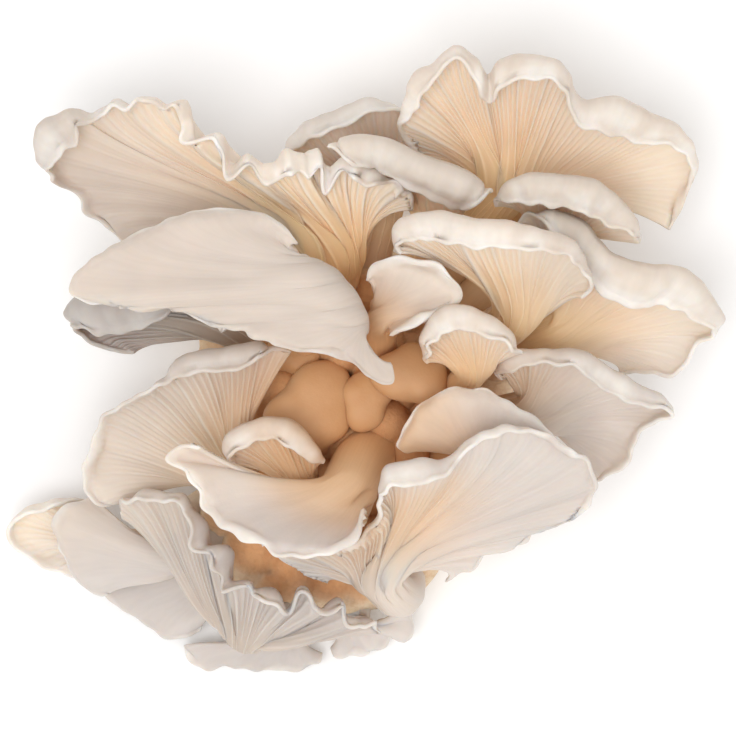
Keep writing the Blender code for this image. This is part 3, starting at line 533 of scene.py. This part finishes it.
def smooth_curve(points, count):
    """count rows evenly spaced along a Catmull-Rom curve through points that start with x, y, z."""
    p = np.array(points, float)
    p = np.vstack([2 * p[0] - p[1], p, 2 * p[-1] - p[-2]])
    t = np.linspace(0, 1, 12, endpoint=False)[:, None]
    spans = [
        0.5 * (2 * b + (c - a) * t + (2 * a - 5 * b + 4 * c - d) * t**2 + (3 * b - a - 3 * c + d) * t**3)
        for a, b, c, d in zip(p, p[1:], p[2:], p[3:])
    ]
    fine = np.vstack([*spans, p[-2:-1]])
    steps = np.linalg.norm(np.diff(fine[:, :3], axis=0), axis=1)
    along = np.concatenate([[0.0], np.cumsum(steps)])
    at = np.linspace(0, along[-1], count)
    return np.column_stack([np.interp(at, along, column) for column in fine.T])


def bezier(a, b, c, d, t):
    return (1 - t) ** 3 * a + 3 * (1 - t) ** 2 * t * b + 3 * (1 - t) * t**2 * c + t**3 * d


def ripple(along, wavelength, random):
    """Uneven waves between about -1 and 1 over lengths along, in millimetres."""
    total = np.zeros_like(along)
    for share in RIPPLE_SHARES:
        total += np.sin(2 * math.pi * along / (wavelength / share) + random.uniform(0, 7)) * share
    return total / RIPPLE_SUM


def rim_length(m):
    rim = smooth_curve([place(p) for p in m.rim], 60)
    return np.linalg.norm(np.diff(rim, axis=0), axis=1).sum()


def middle_surface(m, columns):
    """The surface halfway through the flesh, as rows from the foot to the rim, and each row's v.

    v is -1 at the foot, 0 at the neck, 1 where the margin starts to curl, and 2 at the edge.
    """
    u = np.linspace(0, 1, columns + 1)
    rim = smooth_curve([(*place(p), *p[3:]) for p in m.rim], columns + 1)
    at_ends = ease(np.minimum(u, 1 - u) / ROLL_END)
    edge, roll, flap = rim[:, :3], np.radians(1 + rim[:, 3] * at_ends), 0.5 + rim[:, 4] * at_ends
    foot, neck = place(m.foot), place(m.neck)
    knee = place(m.knee) if m.knee else (foot + neck) / 2
    axis = unit(neck - knee)
    reach = np.linalg.norm(edge - neck, axis=1, keepdims=True)
    bow = np.array((m.bow[0], -m.bow[1], m.bow[2])) * reach / reach.max()
    across = even_out(edge)[-1] - even_out(edge)[0]
    across = unit(across - axis * (across @ axis))
    spread = -np.cos(math.pi * u)[:, None]
    root = neck + across * max(m.root, m.radii[1] * STEM_FULLNESS) * spread

    heading = unit(edge - (root + edge) / 2 - bow)
    proud = np.where(roll < math.pi / 2, m.curl * np.sin(roll) + flap * np.cos(roll), m.curl)
    start = edge - heading * proud[:, None]
    length = np.linalg.norm(start - root, axis=1, keepdims=True)
    first = root + axis * length * HANDLE * m.rise + bow * BOW_AT_STEM
    tangent = unit(even_out(np.gradient(start, axis=0), TANGENT_WIDTH))
    ribs = start - root
    square = ribs - tangent * (ribs * tangent).sum(axis=1, keepdims=True) * SQUARE_TO_RIM
    second = start - square * HANDLE + bow * BOW_AT_RIM
    first, second = even_out(first), even_out(second)

    surface, vs = [], []
    for k in range(STEM_ROWS):
        t = k / STEM_ROWS
        radius = (m.radii[0] + (m.radii[1] - m.radii[0]) * t) * STEM_FULLNESS
        half_width = radius + max(0, m.root - m.radii[1] * STEM_FULLNESS) * t**3
        middle = (1 - t) ** 2 * foot + 2 * (1 - t) * t * knee + t**2 * neck
        surface.append(middle + across * half_width * spread)
        vs.append(t - 1.0)
    for k in range(CAP_ROWS + 1):
        surface.append(bezier(root, first, second, start, k / CAP_ROWS))
        vs.append(k / CAP_ROWS)

    along = unit(even_out(unit(start - second)))
    sideways = unit(even_out(np.gradient(start, axis=0)))
    gillwards = unit(np.cross(sideways, along)) * (1 if m.gills_up else -1)
    for k in range(1, MARGIN_ROWS + 1):
        t = 1 - (1 - k / MARGIN_ROWS) ** EDGE_CROWDING
        arc = min(t * ROLL_SPEED, 1.0) * roll
        out = m.curl * np.sin(arc) + t * flap * np.cos(arc)
        up = m.curl * (1 - np.cos(arc)) + t * flap * np.sin(arc)
        surface.append(start + along * out[:, None] + gillwards * up[:, None])
        vs.append(1.0 + t)
    return np.array(surface), np.array(vs)


def normals(surface, width):
    normal = unit(np.cross(np.gradient(surface, axis=1), np.gradient(surface, axis=0)))
    return unit(np.array([even_out(row, width) for row in normal]))


def ruffle(m, surface, vs, random):
    """Waves and pleats the cap towards the rim, crinkles the margin and makes its edge uneven."""
    normal = normals(surface, TANGENT_WIDTH)
    outwards = unit(np.gradient(surface, axis=0))
    edge_row = STEM_ROWS + CAP_ROWS
    steps = np.linalg.norm(np.diff(surface[edge_row], axis=0), axis=1)
    along = np.concatenate([[0.0], np.cumsum(steps)])
    share = np.linspace(0, 1, surface.shape[1])
    frill = np.interp(share, *zip(*m.frill))
    calm_ends = ease(np.minimum(share, 1 - share) / CALM_END)
    v = vs[:, None]
    waves = frill * ripple(along, m.wave, random) * grown(v, WAVES_GROW)
    crinkles = CRINKLE_DEPTH * frill * ripple(along, CRINKLE_LENGTH, random) * grown(v, CRINKLES_GROW)
    pleats = m.pleat * ripple(along, PLEAT_LENGTH, random)
    pleats = pleats * grown(v, PLEATS_GROW) * (1 - grown(v, PLEATS_DIE))
    dents = DENT_DEPTH * ripple(along, DENT_LENGTH, random)
    dents = dents * np.sin(v * DENTS_OUTWARDS + random.uniform(0, 6)) * grown(v, DENTS_GROW)
    scallops = SCALLOP_DEPTH * frill * ripple(along, SCALLOP_LENGTH, random) * grown(v, SCALLOPS_GROW)
    raised = (waves + crinkles + pleats + dents) * calm_ends
    return surface + normal * raised[:, :, None] + outwards * (scallops * calm_ends)[:, :, None]


def rounded(distance, half):
    """Half of the flesh at a distance from an edge that is round in section."""
    near = np.clip(distance / half, 0, 1)
    return half * np.sqrt(np.maximum(1 - (1 - near) ** 2, 0))


def half_thickness(m, surface, vs):
    """Half of the flesh everywhere: round on the stem, thinning over the cap, round at the edge."""
    bulge = np.sin(math.pi * np.linspace(0, 1, surface.shape[1]))
    stem = (m.radii[0] + (m.radii[1] - m.radii[0]) * np.clip(vs + 1, 0, 1))[:, None] * bulge * STEM_FULLNESS
    flat = (FLESH_AT_NECK + (FLESH_AT_RIM - FLESH_AT_NECK) * grown(vs, FLESH_THINS))[:, None] / 2
    across = np.linalg.norm(np.diff(surface, axis=1), axis=2)
    from_left = np.concatenate([np.zeros((len(vs), 1)), np.cumsum(across, axis=1)], axis=1)
    from_side = np.minimum(from_left, from_left[:, -1:] - from_left)
    outwards = np.linalg.norm(np.diff(surface, axis=0), axis=2)
    from_foot = np.concatenate([np.zeros((1, surface.shape[1])), np.cumsum(outwards, axis=0)])
    from_rim = from_foot[-1:] - from_foot
    cap = np.minimum(rounded(from_side, flat), rounded(from_rim, flat))
    share = grown(vs, STEM_FLATTENS)[:, None]
    return stem * (1 - share) + cap * share


def gill_relief(m, vs, widths, random):
    """How far the gilled side stands out: long gills from the stem, shorter ones between them."""
    count = widths.shape[1]
    index = np.arange(count)
    gill = (index + STRIPS_PER_GILL // 2) // STRIPS_PER_GILL
    starts = np.array([LONG_START, SHORT_START, MIDDLE_START, SHORT_START])
    jitter = random.normal(0, START_SPREAD, gill.max() + 1)
    start = starts[gill % 4] + jitter[gill]
    crest = np.array(STRIP_HEIGHTS)[index % STRIPS_PER_GILL]
    height = ease((vs[:, None] - start[None]) / GILL_GROWTH) * (1 - grown(vs[:, None], GILL_STOP))
    height = height * np.where(gill % 4 == 0, LONG_HEIGHT, SHORT_HEIGHT)
    uneven = random.uniform(*UNEVEN_HEIGHTS, gill.max() + 1)[gill]
    room = np.minimum(1.0, widths * STRIPS_PER_GILL / FULL_SPACING)
    depth = GILL_DEPTH * room**CROWDING * uneven
    strength = np.interp(np.linspace(0, 1, count), *zip(*m.gills))
    shape = crest[None] * height
    return shape * depth * strength, shape, strength


def fine_mesh(name, smooth, gilled, values):
    """A closed mesh of quads from two grids that share their side columns and their last row."""
    rows, count = smooth.shape[:2]
    low = np.arange(rows * count).reshape(rows, count)
    high = low.copy()
    inside = np.zeros((rows, count), bool)
    inside[:-1, 1:-1] = True
    high[inside] = rows * count + np.arange(inside.sum())
    points = np.vstack([smooth.reshape(-1, 3), gilled[inside]]) * MM

    def quads(grid, way):
        ring = [grid[:-1, :-1], grid[:-1, 1:], grid[1:, 1:], grid[1:, :-1]]
        return np.stack(ring[::way], axis=-1).reshape(-1, 4)

    sides = [quads(low, 1), quads(high, -1)]
    foot = np.stack([high[0, :-1], high[0, 1:], low[0, 1:], low[0, :-1]], axis=-1)[1:-1]
    faces = np.vstack([*sides, foot]).tolist()
    faces.append([int(high[0, 1]), int(low[0, 1]), int(low[0, 0])])
    faces.append([int(low[0, -1]), int(low[0, -2]), int(high[0, -2])])
    corners = points[np.vstack(sides)]
    turned = np.cross(corners[:, 2] - corners[:, 0], corners[:, 3] - corners[:, 1])
    if np.einsum("ij,ij->i", corners[:, 0], turned).sum() < 0:
        faces = [face[::-1] for face in faces]
    mesh = bpy.data.meshes.new(name)
    mesh.from_pydata(points.tolist(), [], faces)
    mesh.shade_smooth()
    for key, (on_smooth, on_gilled) in values.items():
        data = np.concatenate([on_smooth.reshape(-1), on_gilled[inside]]).astype(np.float32)
        mesh.attributes.new(key, "FLOAT", "POINT").data.foreach_set("value", data)
    return mesh


def mushroom_mesh(m, random):
    spacing = GILL_SPACING if m.gills_up else HIDDEN_GILL_SPACING
    gills = max(12, round(rim_length(m) / spacing))
    surface, vs = middle_surface(m, gills * STRIPS_PER_GILL)
    surface = ruffle(m, surface, vs, random)
    gillwards = normals(surface, NORMAL_WIDTH) * (1 if m.gills_up else -1)
    half = half_thickness(m, surface, vs)
    widths = np.linalg.norm(np.gradient(surface, axis=1), axis=2)
    relief, crest, strength = gill_relief(m, vs, widths, random)
    clear = np.minimum(1.0, half / (FLESH_AT_RIM / 2))
    smooth = surface - gillwards * half[:, :, None]
    gilled = surface + gillwards * (half + relief * clear)[:, :, None]
    v, none = vs[:, None], np.zeros_like(half)
    share = np.linspace(0, 1, half.shape[1])
    reach = none + (v + 1) / 3
    gilled_area = none + grown(v, COLOUR_START) * (1 - grown(v, COLOUR_STOP))
    # painted shade in the grooves between the gills
    groove_shade = (1 - crest) * gilled_area * strength * (1 - FADE_TO_RIM * grown(v, FADE))
    side = none + share * rim_length(m) * MM
    # painted shading per cap: painted shade below 1, painted light above 1
    painted_shading = none + np.interp(share, *zip(*m.painted_shading))
    values = {
        "reach": (reach, reach),
        "groove_shade": (none, groove_shade),
        "gilled": (none, gilled_area),
        "side": (side, side),
        "painted_shading": (painted_shading, painted_shading),
    }
    return fine_mesh(m.name, smooth, gilled, values)


def lump_mesh(name, rings, bottom, top):
    """A closed lump from rings of points, from bottom to top."""
    count = len(rings[0])
    points = np.vstack([[bottom], np.vstack(rings), [top]]) * MM
    faces = []
    for k in range(count):
        n = (k + 1) % count
        faces.append((0, 1 + n, 1 + k))
        for ring in range(len(rings) - 1):
            a, b = 1 + ring * count, 1 + (ring + 1) * count
            faces.append((a + k, a + n, b + n, b + k))
        last = 1 + (len(rings) - 1) * count
        faces.append((last + k, last + n, len(points) - 1))
    mesh = bpy.data.meshes.new(name)
    mesh.from_pydata(points.tolist(), [], faces)
    mesh.shade_smooth()
    return mesh


def button_mesh(b, random):
    """A stem that widens into a young round cap, dented as it grew between its neighbours."""
    foot, top = place(b.foot), place(b.top)
    axis = unit(top - foot)
    side = unit(np.cross(axis, (0.0, 1.0, 0.3)))
    other = np.cross(axis, side)
    length = np.linalg.norm(top - foot)
    profile = [(t, b.stem_radius) for t in np.linspace(0, 1 - b.cap_radius * 1.6 / length, 8)]
    for a in np.radians(np.linspace(*YOUNG_ARC, 28)):
        t = 1 - b.cap_radius * YOUNG_HEIGHT * (1 - math.sin(a)) / length
        radius = max(b.cap_radius * math.cos(a) ** YOUNG_ROUNDNESS, b.stem_radius if a < 0 else 0.0)
        profile.append((t, radius * YOUNG_FULLNESS))
    turn = np.linspace(0, 2 * math.pi, 64, endpoint=False)
    phase = random.uniform(0, 7, 3)
    rings = []
    for t, radius in profile:
        lump = 1.0
        for (depth, number, twist), shift in zip(YOUNG_LUMPS, phase):
            lump += depth * np.sin(number * turn + shift + twist * t)
        round_about = side * np.cos(turn)[:, None] + other * np.sin(turn)[:, None]
        rings.append(foot + axis * length * t + round_about * (radius * lump)[:, None])
    return lump_mesh(b.name, rings, foot, top)


def knobs(x, y):
    """How far the butt's top rises where stems leave it and where new ones start."""
    raised = np.zeros_like(x)
    for knob_x, knob_y, radius, height in KNOBS:
        away = np.hypot(x - knob_x, y - knob_y) / radius
        raised = np.maximum(raised, height * np.sqrt(np.maximum(1 - away**2, 0)))
    return raised


def butt_mesh():
    """The lump that all the stems leave, flat where it was cut, with a swelling round each stem."""
    outline = smooth_curve([(scale * BUTT_HALF_X, 0.0, z) for scale, z in BUTT_OUTLINE], BUTT_ROWS)
    turn = np.linspace(0, 2 * math.pi, BUTT_COLUMNS, endpoint=False)
    rings = []
    for half_x, _, z in outline:
        z = max(z, 0.0)
        lump = 1 + sum(d * np.sin(n * turn + phase + z * twist) for d, n, phase, twist in BUTT_LUMPS)
        furrows = sum(d * np.sin(n * turn + z * twist) for d, n, twist in BUTT_FURROWS)
        lump += furrows * min(z / FURROWS_FULL, 1)
        x = half_x * lump * np.cos(turn)
        y = half_x * BUTT_HALF_Y / BUTT_HALF_X * lump * np.sin(turn)
        rings.append(np.column_stack([x, y, z + knobs(x, y) * grown(z, KNOBS_GROW)]))
    middle = BUTT_HEIGHT + knobs(np.zeros(1), np.zeros(1))[0]
    return lump_mesh("butt", rings, (0.0, 0.0, 0.0), (0.0, 0.0, middle))


# The colour sockets of the Mix node, which has one set for each kind of value.
COLOUR_A, COLOUR_B, COLOUR_RESULT = 6, 7, 2


class Nodes:
    """Short calls for building one material."""

    def __init__(self, name):
        self.material = bpy.data.materials.new(name)
        self.material.use_nodes = True
        self.tree = self.material.node_tree
        self.shader = self.tree.nodes["Principled BSDF"]
        self.place = self.add("ShaderNodeTexCoord").outputs["Object"]

    def add(self, kind, **inputs):
        node = self.tree.nodes.new(kind)
        for key, value in inputs.items():
            self.put(node.inputs[key.replace("_", " ")], value)
        return node

    def put(self, socket, value):
        if isinstance(value, bpy.types.NodeSocket):
            self.tree.links.new(value, socket)
        else:
            socket.default_value = value

    def value_of(self, name):
        node = self.add("ShaderNodeAttribute")
        node.attribute_name = name
        return node.outputs["Fac"]

    def noise(self, scale, detail, vector=None):
        node = self.add("ShaderNodeTexNoise", Scale=scale, Detail=detail)
        self.put(node.inputs["Vector"], vector or self.place)
        return node.outputs["Fac"]

    def ramp(self, value, low, high, to_low=0.0, to_high=1.0):
        node = self.tree.nodes.new("ShaderNodeMapRange")
        node.interpolation_type = "SMOOTHSTEP"
        for index, number in enumerate((value, low, high, to_low, to_high)):
            self.put(node.inputs[index], number)
        return node.outputs["Result"]

    def math(self, kind, a, b=0.0):
        node = self.tree.nodes.new("ShaderNodeMath")
        node.operation = kind
        self.put(node.inputs[0], a)
        self.put(node.inputs[1], b)
        return node.outputs[0]

    def mix(self, share, a, b, kind="MIX"):
        node = self.tree.nodes.new("ShaderNodeMix")
        node.data_type = "RGBA"
        node.blend_type = kind
        self.put(node.inputs["Factor"], share)
        self.put(node.inputs[COLOUR_A], a)
        self.put(node.inputs[COLOUR_B], b)
        return node.outputs[COLOUR_RESULT]

    def axis(self, index):
        node = self.add("ShaderNodeSeparateXYZ")
        self.put(node.inputs[0], self.place)
        return node.outputs[index]

    def bump(self, height, strength, distance):
        node = self.add("ShaderNodeBump", Strength=strength, Distance=distance, Height=height)
        return node.outputs["Normal"]


def nearness(n, point, fade):
    """1 near a point, falling to 0 over a span of distance from it."""
    away = n.add("ShaderNodeVectorMath")
    away.operation = "DISTANCE"
    n.put(away.inputs[0], n.place)
    n.put(away.inputs[1], point)
    return n.ramp(away.outputs["Value"], *fade, 1.0, 0.0)


def painted_pit_shade_share(n):
    """Where painted shade darkens the flesh: 1 deep down among the stems, 0 on the outer caps."""
    low = n.ramp(n.axis(2), 0.048, 0.070, 1.0, 0.15)
    return n.math("MULTIPLY", nearness(n, PIT_CENTRE, PIT_FADE), low)


def set_flesh(n, colour, roughness, glow, bump):
    n.put(n.shader.inputs["Base Color"], colour)
    n.put(n.shader.inputs["Roughness"], roughness)
    n.shader.inputs["Subsurface Weight"].default_value = glow
    n.shader.inputs["Subsurface Radius"].default_value = GLOW_RADIUS
    n.shader.inputs["Subsurface Scale"].default_value = GLOW_SCALE
    n.shader.inputs["Specular IOR Level"].default_value = 0.3
    n.put(n.shader.inputs["Normal"], bump)
    return n.material


def painted_warm_shade_share(n):
    """Where painted warm shade lies: 1 on the flesh round the pit, 0 on the outer caps and on the highest
    ones.
    """
    low = n.ramp(n.axis(2), 0.062, 0.076, 1.0, 0.0)
    return n.math("MULTIPLY", nearness(n, INNER_CENTRE, INNER_FADE), low)


def painted_cool_shade_share(n, painted_shading, warm_shade):
    """Where painted grey shade lies: 1 on the front caps, and more than 0 on every cap darkened by painted
    shade.
    """
    towards_back = n.math("SUBTRACT", n.axis(1), n.math("MULTIPLY", n.axis(0), 0.35))
    front = n.ramp(towards_back, -0.024, 0.012, 1.0, 0.0)
    front = n.math("MULTIPLY", front, n.math("SUBTRACT", 1.0, warm_shade))
    return n.math("MAXIMUM", front, n.ramp(painted_shading, 0.64, 1.0, 0.9, 0.0))


def skin_colour(n, reach):
    """Warmer near the stem, apart from the highest cap."""
    pale = n.math("MAXIMUM", n.ramp(reach, 0.22, 0.60), n.ramp(n.axis(2), 0.060, 0.072))
    return n.mix(pale, SKIN_NEAR_STEM, SKIN)


def gill_colour(n, reach, groove_shade, depth):
    """Warmer near the stem, with painted shade in the grooves between the gills, strongest in the pit."""
    crests = n.mix(n.ramp(reach, 0.30, 0.66), GILLS_NEAR_STEM, GILLS)
    # painted shade in the grooves, stronger where the painted pit shade is
    return n.mix(n.math("MULTIPLY", groove_shade, n.ramp(depth, 0.0, 1.0, 0.6, 0.9)), crests, PAINTED_GROOVE_SHADE)


def cap_flesh():
    """Cream skin and beige gills, with painted shade in their grooves, a pale margin that is partly a
    painted highlight, painted grey shade on the front caps, painted warm shade round the pit and dark
    painted shade deep in it.
    """
    n = Nodes("mushroom flesh")
    reach, groove_shade, gilled, side = [n.value_of(name) for name in ("reach", "groove_shade", "gilled", "side")]
    painted_shading = n.value_of("painted_shading")
    lay = n.add("ShaderNodeCombineXYZ", X=n.math("MULTIPLY", side, 420.0), Y=n.math("MULTIPLY", reach, 9.0))
    streaks = n.noise(1.0, 3.0, lay.outputs[0])
    mottle = n.noise(22.0, 3.0)
    grain = n.noise(GRAIN_SCALE, 2.0)
    # painted shade deep in the pit, and painted warm shade on the flesh round it
    depth, warm_shade = painted_pit_shade_share(n), painted_warm_shade_share(n)
    flesh = n.mix(gilled, skin_colour(n, reach), gill_colour(n, reach, groove_shade, depth))
    # painted grey shade on the front caps, darker in their grooves
    cool_shade = n.mix(n.math("MULTIPLY", groove_shade, 0.5), PAINTED_COOL_SHADE, PAINTED_COOL_GROOVE_SHADE)
    flesh = n.mix(n.math("MULTIPLY", painted_cool_shade_share(n, painted_shading, warm_shade), 0.8), flesh, cool_shade)
    # painted warm shade on the flesh round the pit
    flesh = n.mix(n.math("MULTIPLY", warm_shade, 0.7), flesh, PAINTED_WARM_SHADE)
    patchy = n.ramp(n.noise(90.0, 2.0), 0.35, 0.65, 0.15, 0.85)
    # pale margin, partly a painted highlight
    flesh = n.mix(n.math("MULTIPLY", n.ramp(reach, 0.70, 0.93), patchy), flesh, PALE_MARGIN_AND_PAINTED_HIGHLIGHT)
    # painted shade: the flesh turns dark orange deep among the stems
    flesh = n.mix(n.math("MULTIPLY", depth, 0.6), flesh, PAINTED_PIT_SHADE)
    mottled_tone = n.math("ADD", n.ramp(mottle, 0.28, 0.72, 0.90, 1.05), n.ramp(streaks, 0.3, 0.7, -0.02, 0.02))
    # random mottle and streaks, times each cap's painted shade and light
    flesh = n.mix(1.0, flesh, n.math("MULTIPLY", mottled_tone, painted_shading), "MULTIPLY")
    bump = n.bump(n.math("ADD", n.math("MULTIPLY", grain, 0.5), streaks), *GRAIN_BUMP)
    return set_flesh(n, flesh, n.ramp(mottle, 0.3, 0.7, 0.50, 0.64), 0.35, bump)


def young_flesh():
    """The young caps in the pit: warm and smooth, with paler patches."""
    n = Nodes("young flesh")
    mottle = n.noise(60.0, 3.0)
    grain = n.noise(GRAIN_SCALE, 2.0)
    skin = n.mix(n.ramp(mottle, 0.3, 0.7), *YOUNG)
    # painted shade: the young caps turn dark orange deep among the stems
    skin = n.mix(n.math("MULTIPLY", painted_pit_shade_share(n), 0.35), skin, PAINTED_PIT_SHADE)
    bump = n.bump(grain, *GRAIN_BUMP)
    return set_flesh(n, skin, n.ramp(mottle, 0.3, 0.7, 0.5, 0.62), 0.35, bump)


def butt_flesh():
    """Pale tan, fibrous flesh on the butt's sides, with orange-brown painted shade on its top, under the
    caps.
    """
    n = Nodes("butt flesh")
    mottle = n.noise(45.0, 4.0)
    stretched = n.add("ShaderNodeMapping", Vector=n.place, Scale=(700.0, 700.0, 60.0))
    fibres = n.noise(1.0, 4.0, stretched.outputs[0])
    patches = n.ramp(mottle, 0.3, 0.7)
    # painted shade: orange-brown on the butt's top, under the caps
    skin = n.mix(n.ramp(n.axis(2), 0.016, 0.032), n.mix(patches, *BUTT_SIDES), n.mix(patches, *BUTT_TOP_PAINTED_SHADE))
    skin = n.mix(n.ramp(fibres, 0.4, 0.7, 0.0, 0.35), skin, FIBRES)
    bump = n.bump(n.math("ADD", fibres, mottle), 0.4, 0.0012)
    return set_flesh(n, skin, 0.7, 0.3, bump)


def floor_material():
    n = Nodes("floor")
    paper = n.noise(7.0, 3.0)
    n.put(n.shader.inputs["Base Color"], n.mix(n.ramp(paper, 0.3, 0.7), *PAPER))
    n.shader.inputs["Roughness"].default_value = 0.9
    n.shader.inputs["Specular IOR Level"].default_value = 0.1
    return n.material


def add_piece(mesh, material, node):
    piece = bpy.data.objects.new("fine_" + node, mesh)
    piece.data.materials.append(material)
    bpy.context.scene.collection.objects.link(piece)
    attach(piece, "root")
    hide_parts(node)


def add_cluster():
    caps, young, base = cap_flesh(), young_flesh(), butt_flesh()
    for k, m in enumerate(MUSHROOMS):
        add_piece(mushroom_mesh(m, np.random.default_rng(SEED + k)), caps, m.name)
    for k, b in enumerate(BUTTONS):
        add_piece(button_mesh(b, np.random.default_rng(SEED_OF_YOUNG + k)), young, b.name)
    add_piece(butt_mesh(), base, "butt")


def add_floor():
    mesh = bpy.data.meshes.new("floor")
    corners = [(x * FLOOR_HALF, y * FLOOR_HALF, 0.0) for x, y in ((-1, -1), (1, -1), (1, 1), (-1, 1))]
    mesh.from_pydata(corners, [], [(0, 1, 2, 3)])
    floor = bpy.data.objects.new("floor", mesh)
    floor.location.z = -FLOOR_DROP
    mesh.materials.append(floor_material())
    bpy.context.scene.collection.objects.link(floor)


def add_camera():
    """Straight down over the plan's centre, at the photograph's scale."""
    data = bpy.data.cameras.new("camera")
    data.sensor_width = SENSOR
    data.lens = SENSOR / 2 * (VIEW_HEIGHT - VIEW_PLANE) / VIEW_HALF_WIDTH
    camera = bpy.data.objects.new("camera", data)
    x, y = VIEW_CENTRE[0] - BUTT_CENTRE[0], BUTT_CENTRE[1] - VIEW_CENTRE[1]
    camera.location = (x * MM, y * MM, VIEW_HEIGHT * MM)
    bpy.context.scene.collection.objects.link(camera)
    bpy.context.scene.camera = camera


def add_area_light(name, place, size, power, colour):
    data = bpy.data.lights.new(name, "AREA")
    data.size = size
    data.energy = power
    data.color = colour
    light = bpy.data.objects.new(name, data)
    light.location = place
    towards = unit(np.array(LIT_POINT) - np.array(place))
    light.rotation_euler = (math.acos(-towards[2]), 0.0, math.atan2(towards[0], -towards[1]) + math.pi)
    bpy.context.scene.collection.objects.link(light)


def add_lights():
    world = bpy.data.worlds.new("studio")
    world.use_nodes = True
    sky = world.node_tree.nodes["Background"]
    sky.inputs["Color"].default_value = SKY_COLOUR
    sky.inputs["Strength"].default_value = SKY_STRENGTH
    bpy.context.scene.world = world
    add_area_light("key", **KEY_LIGHT)
    add_area_light("fill", **FILL_LIGHT)
    bpy.context.scene.view_settings.view_transform = "Standard"


add_cluster()
add_floor()
add_camera()
add_lights()
